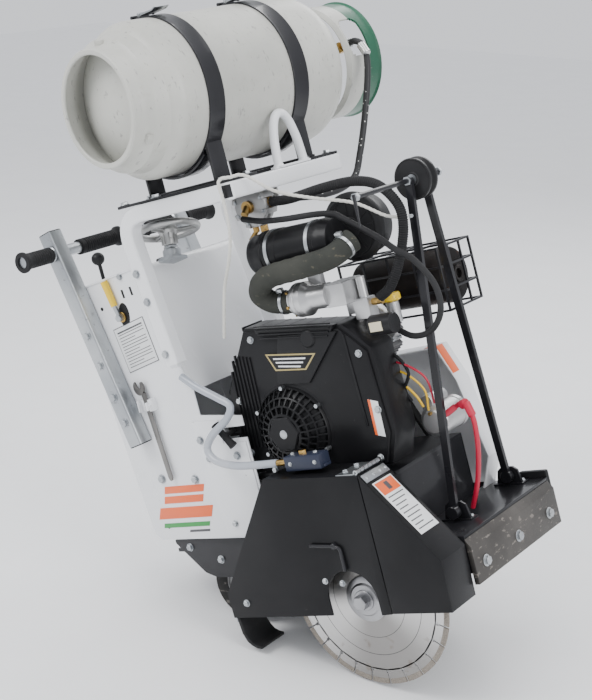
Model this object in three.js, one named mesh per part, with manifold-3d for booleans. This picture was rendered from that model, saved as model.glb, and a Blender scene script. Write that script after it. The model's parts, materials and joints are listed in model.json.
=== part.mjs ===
// Walk-behind concrete saw with a V-twin engine and a fuel cylinder on top. Millimetres.
// The chassis is drawn level: X forward, Y to the machine's left, Z up, origin at the blade's centre.
// It is then pitched nose-up about that centre, as the saw stands with its blade raised off the floor.
import * as THREE from 'three';
import { mergeVertices, mergeGeometries } from 'three/addons/utils/BufferGeometryUtils.js';
import Module from 'manifold-3d';

const wasm = await Module();
wasm.setup();

const noseUp = 17.94;            // degrees the chassis is pitched with the blade raised
const bladeRadius = 177.8;
const bladeThickness = 3.2;
const flangeRadius = 46;
const shaftRadius = 16;
const frameNear = 48;            // outer faces of the base frame's side plates
const frameFar = 388;
const plate = 6;
const deckZ = 90;                // underside of the deck
const deckThickness = 8;
const frontX = 215;
const rearX = -519;
const guardNear = -48;
const guardFar = 38;
const guardSheet = 4;
const rearWheelRadius = 75;
const frontWheelRadius = 62;
const wheelWidth = 34;
const rearAxleX = -372;
const frontAxleX = -110;
const floorDrop = 183;           // floor below the blade's centre, measured square to the floor
const yokePivot = [-260, -20];
const tankRadius = 155.5;
const tankLength = 670;
const tankCentre = [-223, 250, 1029];
const tankSkew = 10.3;
const strapWidth = 40;
const strapThickness = 3;
const strapPlaces = [-165, 62];
const crank = [-128, 330];
const engineNear = 66;
const engineFar = 300;
const drivePulleyRadius = 46;
const drivenPulleyRadius = 61;
const beltPlane = [352, 374];
const gripRadius = 17;
const barRadius = 12.5;
const postSize = 38;
const nearPostY = 22.7;
const consoleNear = 45;
const consoleFar = 391;
const sheet = 3;
const gap = 0.3;

// ---------- materials ----------
const finish = (color, roughness, metalness) => new THREE.MeshStandardMaterial({ color, roughness, metalness });
const finishes = {
  black: finish(0x14141a, 0.4, 0.3),
  white: finish(0xe9ebef, 0.35, 0.1),
  tankPaint: finish(0xc9c9bf, 0.45, 0.2),
  bare: finish(0x4a484a, 0.5, 0.8),
  zinc: finish(0xb9c0c4, 0.35, 0.9),
  steel: finish(0xa8a4a0, 0.3, 1),
  cast: finish(0xb0b0ac, 0.5, 0.8),
  brass: finish(0xb08d45, 0.35, 1),
  rubber: finish(0x1a1a1b, 0.8, 0),
  plastic: finish(0x1c1c1e, 0.55, 0),
  yellow: finish(0xe8c400, 0.45, 0),
  red: finish(0xb01030, 0.5, 0),
  hose: finish(0x9aa3b0, 0.4, 0),
  rope: finish(0xe8e6df, 0.8, 0),
};

// ---------- shape helpers: every one returns a closed geometry ----------
const radians = THREE.MathUtils.degToRad;

function box(x, y, z) {
  const g = new THREE.BoxGeometry(x[1] - x[0], y[1] - y[0], z[1] - z[0]);
  return g.translate((x[0] + x[1]) / 2, (y[0] + y[1]) / 2, (z[0] + z[1]) / 2);
}

function outline(points, holes = []) {
  const shape = new THREE.Shape(points.map(([a, b]) => new THREE.Vector2(a, b)));
  for (const [a, b, r] of holes) {
    const hole = new THREE.Path();
    hole.absarc(a, b, r, 0, Math.PI * 2);
    shape.holes.push(hole);
  }
  return shape;
}

// A plate whose outline is drawn in X and Z, standing between two Y planes.
function sidePlate(points, y, holes = []) {
  const g = new THREE.ExtrudeGeometry(outline(points, holes), { depth: y[1] - y[0], bevelEnabled: false, curveSegments: 10 });
  return g.rotateX(Math.PI / 2).translate(0, y[1], 0);
}

// A plate whose outline is drawn in X and Y, lying between two Z planes.
function flatPlate(points, z, holes = []) {
  const g = new THREE.ExtrudeGeometry(outline(points, holes), { depth: z[1] - z[0], bevelEnabled: false, curveSegments: 10 });
  return g.translate(0, 0, z[0]);
}

function rod(from, to, radius, sides = 16) {
  const a = new THREE.Vector3(...from);
  const b = new THREE.Vector3(...to);
  const g = new THREE.CylinderGeometry(radius, radius, a.distanceTo(b), sides);
  const turn = new THREE.Quaternion().setFromUnitVectors(new THREE.Vector3(0, 1, 0), b.clone().sub(a).normalize());
  const middle = a.add(b).multiplyScalar(0.5);
  return g.applyQuaternion(turn).translate(middle.x, middle.y, middle.z);
}

// Profile points are [radius, distance along the axis]; the axis runs along Y, X or Z through the given place.
function turned(profile, place, axis = 'y', sides = 28) {
  const points = profile.map(([r, d]) => new THREE.Vector2(r, d));
  const g = new THREE.LatheGeometry(points, sides);
  if (axis === 'x') g.rotateZ(-Math.PI / 2);
  if (axis === 'z') g.rotateX(Math.PI / 2);
  return g.translate(...place);
}

const disc = (radius, from, to) => [[0, from], [radius, from], [radius, to], [0, to]];
const hoop = (inner, outer, from, to) => [[inner, from], [outer, from], [outer, to], [inner, to], [inner, from]];

function sweep(points, radius, sides, steps, closed = false) {
  const section = new THREE.Shape();
  for (let i = 0; i < sides; i += 1) {
    const angle = (i / sides) * Math.PI * 2;
    const where = [Math.cos(angle) * radius, Math.sin(angle) * radius];
    if (i === 0) section.moveTo(...where);
    else section.lineTo(...where);
  }
  const path = new THREE.CatmullRomCurve3(points.map((p) => new THREE.Vector3(...p)), closed, 'catmullrom', 0.5);
  return new THREE.ExtrudeGeometry(section, { steps, bevelEnabled: false, extrudePath: path });
}

// A square bar whose sides stay square to Y.
function squareTube(from, to, size) {
  const a = new THREE.Vector3(...from);
  const b = new THREE.Vector3(...to);
  const run = b.clone().sub(a).normalize();
  const across = new THREE.Vector3(0, 1, 0).addScaledVector(run, -run.y).normalize();
  const third = new THREE.Vector3().crossVectors(run, across);
  const g = new THREE.BoxGeometry(size, a.distanceTo(b), size);
  const place = new THREE.Matrix4().makeBasis(third, run, across).setPosition(a.add(b).multiplyScalar(0.5));
  return g.applyMatrix4(place);
}

function toSolid(geometry) {
  const g = geometry.clone();
  for (const name of Object.keys(g.attributes)) if (name !== 'position') g.deleteAttribute(name);
  const merged = mergeVertices(g, 1e-4);
  const mesh = new wasm.Mesh({
    numProp: 3,
    vertProperties: new Float32Array(merged.attributes.position.array),
    triVerts: new Uint32Array(merged.index.array),
  });
  mesh.merge();
  return new wasm.Manifold(mesh);
}

function toGeometry(solid) {
  const mesh = solid.getMesh();
  const g = new THREE.BufferGeometry();
  g.setAttribute('position', new THREE.BufferAttribute(new Float32Array(mesh.vertProperties), 3));
  g.setIndex(new THREE.BufferAttribute(new Uint32Array(mesh.triVerts), 1));
  g.computeVertexNormals();
  return g;
}

const join = (...parts) => toGeometry(wasm.Manifold.union(parts.map(toSolid)));
const cut = (part, ...tools) => toGeometry(wasm.Manifold.difference([part, ...tools].map(toSolid)));

// ---------- assembly ----------
const chassis = new THREE.Group();

function add(name, geometry, material, parent = chassis) {
  const mesh = new THREE.Mesh(geometry, finishes[material]);
  mesh.name = name;
  parent.add(mesh);
  return mesh;
}

// Wheels stand on the floor with the chassis pitched.
const cosPitch = Math.cos(radians(noseUp));
const sinPitch = Math.sin(radians(noseUp));
const standingZ = (x, radius) => (radius - floorDrop - x * sinPitch) / cosPitch;
const rearAxleZ = standingZ(rearAxleX, rearWheelRadius);
const frontAxleZ = standingZ(frontAxleX, frontWheelRadius);
const axleRadius = { rear: 10, front: 9 };

// Base frame: side plates, deck, engine cradle, bearing blocks, axle and brackets as one weldment.
const [yokeX, yokeZ] = yokePivot;
const deckTop = deckZ + deckThickness;
const mountTop = 224;
const guidePivot = [150, 118];

function bearingBlock(y) {
  const block = sidePlate([[-34, -30], [34, -30], [44, deckZ + 1], [-44, deckZ + 1]], y);
  return cut(block, rod([0, y[0] - 2, 0], [0, y[1] + 2, 0], shaftRadius + gap, 20));
}

function yokeBracket(y) {
  return sidePlate([[yokeX - 22, yokeZ - 16], [yokeX + 22, yokeZ - 16], [yokeX + 30, deckZ + 1], [yokeX - 30, deckZ + 1]], y);
}

function guideLug(y) {
  return sidePlate([[guidePivot[0] - 34, deckTop - 1], [guidePivot[0] + 26, deckTop - 1], [guidePivot[0] + 14, 134], [guidePivot[0] - 20, 134]], y);
}

function baseFrame() {
  const sideOutline = [[rearX, deckZ + 20], [-455, 42], [-425, 30], [frontX, 24], [frontX, deckTop],
    [-240, deckTop], [-260, 118], [rearX, 118]];
  const beltSlot = box([-190, 80], [beltPlane[0] - 12, frameFar - plate - 1], [deckZ - 5, deckZ + 20]);
  const weldment = join(
    sidePlate(sideOutline, [frameNear, frameNear + plate]),
    sidePlate(sideOutline, [frameFar - plate, frameFar]),
    box([rearX, frontX], [frameNear, frameFar], [deckZ, deckTop]),
    box([frontX - 8, frontX], [frameNear, frameFar], [24, deckZ + 4]),
    bearingBlock([53, 66]),
    bearingBlock([321, 334]),
    rod([rearAxleX, 56, rearAxleZ], [rearAxleX, 380, rearAxleZ], axleRadius.rear, 16),
    box([rearAxleX - 14, rearAxleX + 14], [104, 112], [rearAxleZ - 14, deckZ + 1]),
    box([rearAxleX - 14, rearAxleX + 14], [324, 332], [rearAxleZ - 14, deckZ + 1]),
    yokeBracket([101, 109]),
    yokeBracket([277, 285]),
    rod([yokeX, 105, yokeZ], [yokeX, 281, yokeZ], 8, 16),
    guideLug([144, 150]),
    guideLug([355, 361]),
    box([-290, 80], [75, 326], [mountTop - 8, mountTop]),
    box([-290, -282], [75, 326], [deckTop - 1, mountTop]),
    box([72, 80], [75, 326], [deckTop - 1, mountTop]),
  );
  return cut(weldment, beltSlot);
}
add('base_frame', baseFrame(), 'black');

function frontWeightBar() {
  return sidePlate([[frontX + gap, 3], [frontX + 11, 3], [frontX + 11, 76], [frontX + gap, 92]], [46, 385]);
}
add('front_weight_bar', frontWeightBar(), 'bare');
add('front_corner_cap', box([150, frontX - 1], [frameFar + gap, frameFar + 14], [20, 112]), 'black');

// Blade guard: a fixed rear box and a front box that swings up on a hinge across its top.
const guardSplit = 82;
const guardTop = 258;
function guardShell(outer, inner, extra) {
  return cut(sidePlate(outer, [guardNear, guardFar]), sidePlate(inner, [guardNear + guardSheet, guardFar - guardSheet]), ...extra);
}
const rearGuard = guardShell(
  [[-315, -22], [guardSplit, -16], [guardSplit, guardTop - 2], [-145, guardTop + 6], [-316, 30]],
  [[-311, -40], [guardSplit + 9, -40], [guardSplit + 9, guardTop - 6], [-143, guardTop + 2], [-312, 28]],
  [
    box([-58, 58], [guardNear - 5, guardNear + 12], [-60, 14]),
    rod([0, guardNear - 5, 14], [0, guardNear + 12, 14], 58, 28),
    box([-30, 30], [guardFar - 12, guardFar + 5], [-60, 0]),
    rod([0, guardFar - 12, 0], [0, guardFar + 5, 0], 30, 20),
  ],
);
const hinge = join(
  box([30, guardSplit - 8], [guardNear + 4, guardFar - 4], [guardTop - 2, guardTop + 3]),
  rod([guardSplit - 8, guardNear + 4, guardTop + 3], [guardSplit - 8, guardFar - 4, guardTop + 3], 5, 12),
);
add('blade_guard_rear', join(rearGuard, hinge), 'black');
const guardFront = new THREE.Group();
chassis.add(guardFront);
const frontGuard = guardShell(
  [[guardSplit + 1, -15], [217, -13], [220, 86], [guardSplit + 1, guardTop - 2]],
  [[guardSplit - 9, -40], [213, -40], [216, 84.5], [guardSplit + 3, guardTop - 8], [guardSplit - 9, guardTop - 8]],
  [],
);
add('blade_guard_front', frontGuard, 'black', guardFront);
add('guard_latch', join(
  rod([-64, guardNear - 5, 127], [-10, guardNear - 5, 124], 3.5, 10),
  rod([-11, guardNear - 5, 126], [3, guardNear - 5, 74], 3.5, 10),
  rod([-10, guardNear - 0.4, 124], [-10, guardNear - 8, 124], 6, 12),
), 'black');

// Mud flap: a curved rubber sheet under the guard's tail.
function mudFlap() {
  const outer = [[-313, -24], [-309, -58], [-292, -84], [-268, -92]];
  const inner = [[-266, -86], [-288, -78], [-302, -56], [-305, -24]];
  return sidePlate([...outer, ...inner], [guardNear + 5, guardFar - 5]);
}
add('mud_flap', mudFlap(), 'rubber');

// Blade, its flanges and the shaft that the belts turn.
function blade() {
  const slots = [];
  const segments = 26;
  for (let i = 0; i < segments; i += 1) {
    const angle = (i / segments) * 360;
    slots.push(box([bladeRadius - 21, bladeRadius + 3], [-4, 4], [-1.6, 1.6]).rotateY(radians(angle)));
  }
  const rim = turned(disc(bladeRadius, -bladeThickness / 2, bladeThickness / 2), [0, 0, 0], 'y', 78);
  return cut(rim, ...slots, rod([0, -9, 0], [0, 9, 0], shaftRadius - 3, 20));
}
const half = bladeThickness / 2;
add('blade', blade(), 'steel');
function arborProfile() {
  const bore = shaftRadius - 3 - gap;
  const outer = -half - gap;
  const inner = half + gap;
  return [[0, outer - 34], [15, outer - 34], [15, outer - 14], [flangeRadius, outer - 14], [flangeRadius, outer], [bore, outer],
    [bore, inner], [flangeRadius, inner], [flangeRadius, inner + 14], [shaftRadius, inner + 14], [shaftRadius, beltPlane[0]],
    [drivenPulleyRadius, beltPlane[0]], [drivenPulleyRadius, beltPlane[1]], [shaftRadius, beltPlane[1]], [shaftRadius, 380], [0, 380]];
}
add('blade_shaft', turned(arborProfile(), [0, 0, 0], 'y', 32), 'steel');

function wheel(name, x, z, y, radius, axle) {
  const hub = 0.56 * radius;
  const far = y + wheelWidth;
  const profile = [[axle + gap, y + 3], [hub, y + 3], [hub, y], [radius - 6, y], [radius, y + 6], [radius, far - 6],
    [radius - 6, far], [hub, far], [hub, far - 3], [axle + gap, far - 3], [axle + gap, y + 3]];
  add(name, turned(profile, [x, 0, z], 'y', 40), 'rubber');
}
wheel('rear_wheel_near', rearAxleX, rearAxleZ, 60, rearWheelRadius, axleRadius.rear);
wheel('rear_wheel_far', rearAxleX, rearAxleZ, 342, rearWheelRadius, axleRadius.rear);
wheel('front_wheel_near', frontAxleX, frontAxleZ, 69, frontWheelRadius, axleRadius.front);
wheel('front_wheel_far', frontAxleX, frontAxleZ, 284, frontWheelRadius, axleRadius.front);

// The depth yoke swings the front wheels on a pin through its cross tube.
function yoke() {
  const arm = (y) => squareTube([yokeX, y, yokeZ], [frontAxleX, y, frontAxleZ], 22);
  const pinRoom = rod([yokeX, 90, yokeZ], [yokeX, 300, yokeZ], 8 + gap, 16);
  return cut(join(
    rod([yokeX, 110, yokeZ], [yokeX, 276, yokeZ], 17, 20),
    arm(124),
    arm(262),
    rod([frontAxleX, 66, frontAxleZ], [frontAxleX, 321, frontAxleZ], axleRadius.front, 16),
  ), pinRoom);
}
add('depth_yoke', yoke(), 'black');

// Belt drive on the far side.
const beltRoom = 1.2;
function beltLoop(grow) {
  const shape = new THREE.Shape();
  const dx = crank[0];
  const dz = crank[1];
  const lean = Math.atan2(dz, dx);
  const reach = Math.hypot(dx, dz);
  const side = Math.acos((drivenPulleyRadius - drivePulleyRadius) / reach);
  shape.absarc(dx, dz, drivePulleyRadius + grow, lean - side, lean + side);
  shape.absarc(0, 0, drivenPulleyRadius + grow, lean + side, lean - side + Math.PI * 2);
  shape.closePath();
  const g = new THREE.ExtrudeGeometry(shape, { depth: beltPlane[1] - beltPlane[0] - 4, bevelEnabled: false, curveSegments: 20 });
  return g.rotateX(Math.PI / 2).translate(0, beltPlane[1] - 2, 0);
}
add('drive_belt', cut(beltLoop(9), beltLoop(beltRoom)), 'rubber');
add('crankshaft', turned([[0, engineFar + gap], [14, engineFar + gap], [14, beltPlane[0]], [drivePulleyRadius, beltPlane[0]],
  [drivePulleyRadius, beltPlane[1]], [14, beltPlane[1]], [14, 380], [0, 380]], [crank[0], 0, crank[1]], 'y', 28), 'steel');
function beltGuard() {
  const outer = [[-205, 300], [-185, 395], [60, 404], [92, 330], [124, 165], [95, deckTop + gap], [-120, deckTop + gap]];
  const inner = [[-201, 300], [-182, 391], [57, 400], [88, 330], [120, 165], [92, deckTop - 10], [-117, deckTop - 10]];
  return cut(sidePlate(outer, [338, 386]), sidePlate(inner, [330, 383]));
}
add('belt_guard', beltGuard(), 'white');

// Engine.
const headTilt = 50;
function tilted(geometry, side) {
  return geometry.rotateY(radians(headTilt * side)).translate(crank[0], 0, crank[1]);
}
function engineBlock() {
  return join(
    sidePlate([[-225, mountTop + gap], [-30, mountTop + gap], [-20, 330], [-70, 420], [-185, 420], [-235, 330]], [150 + gap, engineFar]),
    tilted(box([-52, 52], [150 + gap, 186], [80, 250]), 1),
    tilted(box([-52, 52], [200, 290], [80, 170]), -1),
    tilted(box([-42, 42], [206, 284], [169, 196]), -1),
  );
}
add('engine_block', engineBlock(), 'plastic');
const shroudOutline = [[-200, 545], [42, 522], [96, 470], [104, 300], [80, 238], [-232, 232], [-288, 300], [-282, 420]];
add('blower_housing', join(
  sidePlate(shroudOutline, [engineNear, 150]),
  box([-296, -262], [60, engineNear + 6], [330, 354]),
), 'plastic');
add('recoil_cover', turned([[0, -36], [34, -36], [56, -31], [80, -14], [88, 0], [0, 0]], [crank[0], engineNear - gap, crank[1]], 'y', 36),
  'plastic');
const capPlace = [100, 172, 514];
add('valve_cover_right', join(
  tilted(box([-42, 42], [153, 184], [250 + gap, 284]), 1),
  turned(disc(13, -20, 22), capPlace, 'z', 16),
), 'cast');
const oilCap = turned([[0, 0], [19, 0], [19, 10], [14, 15], [0, 15]], [capPlace[0], capPlace[1], capPlace[2] + 22 + gap], 'z', 20);
add('oil_cap', oilCap, 'yellow');
add('starter_motor', turned([[0, 0], [32, 0], [32, 78], [24, 90], [0, 90]], [134, 158, 292], 'y', 24), 'cast');
add('muffler', turned([[0, 0], [49, 0], [56, 8], [56, 210], [49, 218], [0, 218]], [-60, 322, 548], 'x', 32), 'black');
function cage() {
  const low = [-68, 258, 484];
  const high = [170, 386, 612];
  const wire = 4;
  const bars = [];
  for (const x of [low[0], -8, 51, 111, high[0]]) {
    bars.push(box([x - wire, x], [low[1], high[1]], [high[2] - wire, high[2]]));
    bars.push(box([x - wire, x], [low[1], low[1] + wire], [low[2], high[2]]));
    bars.push(box([x - wire, x], [high[1] - wire, high[1]], [low[2], high[2]]));
  }
  for (const y of [low[1], 320, high[1] - wire]) bars.push(box([low[0] - wire, high[0]], [y, y + wire], [high[2] - wire, high[2]]));
  for (const z of [low[2], 524, 570]) {
    bars.push(box([low[0] - wire, high[0]], [low[1], low[1] + wire], [z, z + wire]));
    bars.push(box([low[0] - wire, high[0]], [high[1] - wire, high[1]], [z, z + wire]));
    bars.push(box([high[0] - wire, high[0]], [low[1], high[1]], [z, z + wire]));
  }
  for (const y of [300, 343]) bars.push(box([high[0] - wire, high[0]], [y, y + wire], [low[2], high[2]]));
  return join(...bars);
}
add('muffler_cage', cage(), 'black');

// Intake: canister, rubber elbow, mixer and dust bowl.
add('air_cleaner', turned([[0, 0], [38, 0], [42, 12], [42, 22], [46, 30], [46, 190], [40, 202], [0, 202]], [-150, 120, 677], 'x', 32),
  'plastic');
add('intake_elbow', sweep(
  [[96, 100, 672], [70, 55, 652], [0, 47, 645], [-70, 49, 640], [-104, 55, 630], [-124, 64, 608], [-112, 76, 588], [-88, 82, 581],
    [-65, 84, 580]], 23, 12, 28), 'rubber');
add('fuel_mixer', join(
  turned([[0, 0], [27, 0], [34, 12], [34, 34], [24, 46], [24, 88], [0, 88]], [-60, 84, 580], 'x', 24),
  box([20, 70], [70, 140], [556, 600]),
  box([30, 60], [120, 150], [530, 600]),
  box([60, 96], [100, 130], [520, 560]),
  rod([92, 100, 505], [92, 146, 505], 20, 16),
  box([-30, 0], [100, 116], [590, 628.5]),
), 'cast');
add('dust_bowl', turned([[0, 0], [60, 0], [68, 6], [68, 20], [60, 26], [60, 58], [48, 70], [0, 70]], [48, 172, 690], 'y', 32), 'plastic');
add('recoil_grip', join(
  rod([-296, 26, 366], [-262, 26, 318], 9, 12),
  rod([-279, 26, 342], [-279, 59, 342], 5, 10),
), 'rubber');
// Console: two side sheets and a folded cover on the rear half of the frame.
const panelOutline = [[-620, 690], [-566, 135], [-550, 122], [-235, 116], [-235, 376], [-345, 386], [-345, 440], [-425, 712]];
const gripSlot = box([-292, -230], [consoleNear - 10, consoleNear + 5], [330, 354]);
function wrenchHolder() {
  return cut(box([-500, -456], [28, consoleNear - 1], [410, 436]), box([-496, -468], [27, 37.5], [400, 446]));
}
add('side_panel_near', cut(join(
  sidePlate(panelOutline, [consoleNear - sheet, consoleNear]),
  sidePlate([[-372, 375], [-238, 370], [-238, 125], [-352, 121]], [consoleNear - 2 * sheet, consoleNear - 1]),
  wrenchHolder(),
), gripSlot), 'white');
add('side_panel_far', sidePlate(panelOutline, [consoleFar, consoleFar + sheet]), 'white');
const coverOutline = [[-345.5, 438], [-425.5, 710.5], [-618.5, 689], [-565, 136], [-561, 136], [-615, 686],
  [-428, 707], [-349, 437]];
add('console_cover', sidePlate(coverOutline, [consoleNear + gap, consoleFar - gap]), 'white');
add('battery', box([-545, -365], [190, 320], [118.3, 260]), 'plastic');

// Handle posts and T bars.
const postLow = [-515, 345];
const postHigh = [-612, 822];
const farPostY = consoleFar + sheet + gap + postSize / 2;
function handle(y, bar, grips) {
  const gripProfile = ([from, to]) => [[0, from], [gripRadius, from], [gripRadius, to - 12], [gripRadius + 5, to - 4], [gripRadius + 5, to], [0, to]];
  return join(
    squareTube([postLow[0], y, postLow[1]], [postHigh[0], y, postHigh[1]], postSize - 1),
    rod([-604, bar[0], 778], [-604, bar[1], 778], barRadius, 16),
    ...grips.map((grip) => turned(gripProfile(grip), [-604, 0, 778], 'y', 20)),
  );
}
add('handle_near', handle(nearPostY, [-80, 212], [[-82, 0], [84, 214]]), 'zinc');
add('handle_far', handle(farPostY, [294, 528], [[292, 388], [438, 530]]), 'zinc');

// Top frame: a bent tube on each side, a lifting cross bar and its bail.
const tube = 34;
function sideTube(y, foot) {
  const beam = box([-368, -106], [y - tube / 2, y + tube / 2], [800, 834]);
  const bend = [squareTube([-385, y, 790], [-374, y, 812], tube), squareTube([-376, y, 812], [-352, y, 818], tube)];
  return join(...foot.slice(1).map((p, i) => squareTube([foot[i][0], y, foot[i][1]], [p[0], y, p[1]], tube)), ...bend, beam);
}
const nearTubeY = consoleNear - 2 * sheet - gap - tube / 2;
const farTubeY = 345;
const trayTop = 840.3;
const strapNames = ['near', 'far'];
function saddle(place) {
  const w = strapWidth / 2;
  const floor = trayTop - tankCentre[2];
  const room = rod([0, place - w - 2, 0], [0, place + w + 2, 0], tankRadius + strapThickness + 2 * gap, 48);
  const pair = cut(join(
    box([-112, -104], [place - w, place + w], [floor - 2, -96]),
    box([104, 112], [place - w, place + w], [floor - 2, -96]),
    box([-112, 112], [place - w, place + w], [floor - 2, floor + 4]),
  ), room);
  return pair.rotateZ(radians(-tankSkew)).translate(...tankCentre);
}
add('top_frame', join(
  sideTube(nearTubeY, [[-351, 504], [-385, 792]]),
  sideTube(farTubeY, [[-309, deckTop + 3], [-326, 438], [-385, 792]]),
  box([-107, -72], [nearTubeY - tube / 2, farTubeY + tube / 2], [801, 834]),
  box([-396, -106], [20, 128], [833, trayTop]),
  box([-352, -80], [268, 372], [833, trayTop]),
  ...strapPlaces.map(saddle),
), 'white');
function bail() {
  const x = -88;
  const z = 834.3;
  return join(
    sweep([[x, 178, z + 4], [x, 181, z + 50], [x, 196, z + 92], [x, 218, z + 106], [x, 240, z + 92], [x, 255, z + 50], [x, 258, z + 4]], 9, 12, 30),
    box([x - 14, x + 14], [166, 266], [z, z + 5]),
  );
}
add('lifting_bail', bail(), 'white');

// Fuel cylinder with its tray plates, saddles, straps and latches.
const tankGroup = new THREE.Group();
tankGroup.position.set(...tankCentre);
tankGroup.rotation.z = radians(-tankSkew);
chassis.add(tankGroup);
const end = tankLength / 2;
function tankBody() {
  const R = tankRadius;
  const wall = 3;
  return turned([[0, -end + 46], [60, -end + 40], [104, -end + 30], [104, -end], [114, -end], [116, -end + 22], [134, -end + 40],
    [150, -end + 68], [R, -end + 100], [R, end - 175], [148, end - 140], [128, end - 112], [112, end - 100], [12, end - 85],
    [12, end - 88], [110, end - 103], [126, end - 115], [146, end - 142], [R - wall, end - 175], [R - wall, -end + 100],
    [147, -end + 70], [120, -end + 36], [60, -end + 44], [0, -end + 50]], [0, 0, 0], 'y', 48);
}
function collar() {
  const ring = turned([[109, end - 102], [122, end - 92], [122, end], [114, end], [114, end - 90], [109, end - 102]], [0, 0, 0], 'y', 40);
  return cut(ring, box([60, 130], [end - 84, end - 32], [-8, 84]));
}
add('fuel_cylinder', join(tankBody(), collar()), 'tankPaint', tankGroup);
add('cylinder_valve', join(
  rod([0, end - 82, 10], [0, end - 40, 10], 14, 16),
  rod([0, end - 58, 10], [96, end - 58, 24], 10, 14),
), 'brass', tankGroup);
add('valve_knob', turned([[0, 0], [20, 0], [22, 6], [20, 14], [0, 14]], [0, end - 40 + gap, 10], 'y', 12), 'black', tankGroup);
strapPlaces.forEach((place, i) => {
  const w = strapWidth / 2;
  const band = turned(hoop(tankRadius + gap, tankRadius + gap + strapThickness, place - w, place + w), [0, 0, 0], 'y', 48);
  add(`strap_${strapNames[i]}`, band, 'black', tankGroup);
  const topZ = tankRadius + gap + strapThickness + gap;
  add(`latch_${strapNames[i]}`, join(
    box([6, 62], [place - 14, place + 14], [topZ + 2, topZ + 6]),
    rod([8, place - 20, topZ + 4.2], [8, place + 20, topZ + 4.2], 4, 10),
  ), 'zinc', tankGroup);
});

// Regulator and water manifold.
add('gas_regulator', join(
  rod([-150, 128, 775], [-150, 178, 775], 40, 24),
  rod([-150, 118, 775], [-150, 130, 775], 14, 14),
), 'cast');
add('water_manifold', join(
  box([-100, -10], [-28, 8], [268.5, 300]),
  rod([-128, -10, 284], [-99, -10, 284], 9, 12),
  rod([-60, -10, 299], [-60, -10, 306], 8, 6),
), 'plastic');

// Controls.
add('water_lever', join(
  rod([-487, 33, 617], [-505, 33, 700], 7, 10),
  rod([-487, 41.6, 617], [-487, 25, 617], 9, 12),
), 'yellow');
add('throttle_knob', join(
  rod([-530, 60, 700], [-530, 60, 735], 4, 10),
  turned([[0, -14], [8, -12], [14, 0], [8, 12], [0, 14]], [-530, 60, 745], 'z', 14),
), 'plastic');
add('ignition_key', join(
  rod([-560, 220, 697.3], [-560, 220, 706], 9, 12),
  box([-563, -557], [208, 232], [705, 722]),
), 'zinc');
const wheelTilt = { inboard: -15, rear: -8 };
const handwheel = new THREE.Group();
handwheel.position.set(-372, 122, 768);
handwheel.rotation.set(radians(wheelTilt.inboard), radians(wheelTilt.rear), 0, 'YXZ');
chassis.add(handwheel);
function rimAndSpokes() {
  const rim = turned([[56, -9], [68, -9], [70, 0], [68, 9], [60, 9], [56, -9]], [0, 0, 0], 'z', 36);
  const spokes = [0, 120, 240].map((a) => box([10, 60], [-6, 6], [-5, 3]).rotateZ(radians(a + 40)));
  const hub = turned([[0, -34], [16, -34], [17, -12], [22, -4], [22, 6], [0, 6]], [0, 0, 0], 'z', 16);
  const knob = rod([-58, -24, 4], [-58, -24, 34], 9, 12);
  return join(rim, hub, knob, ...spokes);
}
add('depth_handwheel', rimAndSpokes(), 'cast', handwheel);
// Wrench in its holder on the near panel.
function wrench() {
  const lean = [-489, 461];
  const tail = [-464, 268];
  const shank = squareTube([lean[0], 0, lean[1]], [tail[0], 0, tail[1]], 12);
  shank.scale(1, 0.5, 1).translate(0, 33.5, 0);
  const head = sidePlate([[-512, 452], [-506, 488], [-490, 484], [-488, 470], [-476, 468], [-466, 478], [-464, 456], [-484, 438]], [30.5, 36.5]);
  return join(shank, head);
}
add('wrench', wrench(), 'zinc');

// Front guide: two arms, an axle with a bent pointer and a flanged roller.
const guide = new THREE.Group();
chassis.add(guide);
add('guide_arms', join(
  squareTube([guidePivot[0], 134, guidePivot[1]], [200, 178, 753], 12),
  squareTube([guidePivot[0], 346, guidePivot[1]], [197, 236, 690], 12),
  squareTube([197, 236.5, 686], [200, 230, 753], 12),
  rod([200, -6, 753], [200, 290, 753], 5, 12),
  rod([200, -6, 756], [200, -10, 700], 5, 12),
), 'black', guide);
const roller = [[5 + gap, 188], [40, 188], [40, 193], [30, 197], [30, 209], [40, 213], [40, 218], [5 + gap, 218], [5 + gap, 188]];
add('guide_roller', turned(roller, [200, 0, 753], 'y', 32), 'rubber', guide);

// Hoses, cable and rope, apart from the rest so that the stance is measured without them.
const cords = new THREE.Group();
chassis.add(cords);
const cord = (name, geometry, material) => add(name, geometry, material, cords);
cord('fuel_hose', sweep([[-77, 505, 1053], [-57, 500, 1052], [-36, 493, 1037], [-28, 481, 1004], [-34, 465, 950], [-46, 440, 880],
  [-56, 412, 820], [-62, 385, 780], [-70, 340, 762], [-86, 285, 760], [-108, 232, 768], [-138, 206, 774], [-150, 188, 775]], 7, 8, 36),
'rubber');
cord('corrugated_hose', sweep([[-109.5, 150, 775], [-60, 150, 772], [30, 146, 778], [100, 150, 776], [150, 150, 758], [182, 150, 715],
  [186, 142, 670], [168, 128, 612], [140, 122, 570], [112, 118, 553]], 10, 8, 40), 'rubber');
cord('vent_hose', sweep([[-150, 100, 756], [-100, 96, 744], [-45, 98, 738], [20, 104, 734], [60, 106, 728], [80, 108, 716],
  [150, 104, 668], [180, 106, 640], [212, 112, 612], [238, 120, 560], [236, 122, 510], [205, 124, 476], [160, 126, 470],
  [118, 128, 494]], 6, 8, 44), 'rubber');
cord('water_hose', sweep([[-356, 30, 474], [-320, 28, 448], [-270, 26, 420], [-240, 22, 402], [-250, 14, 378], [-292, 6, 350], [-312, 2, 322],
  [-290, -4, 298], [-240, -8, 286], [-180, -10, 284], [-128.4, -10, 284]], 8, 8, 34), 'hose');
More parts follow.
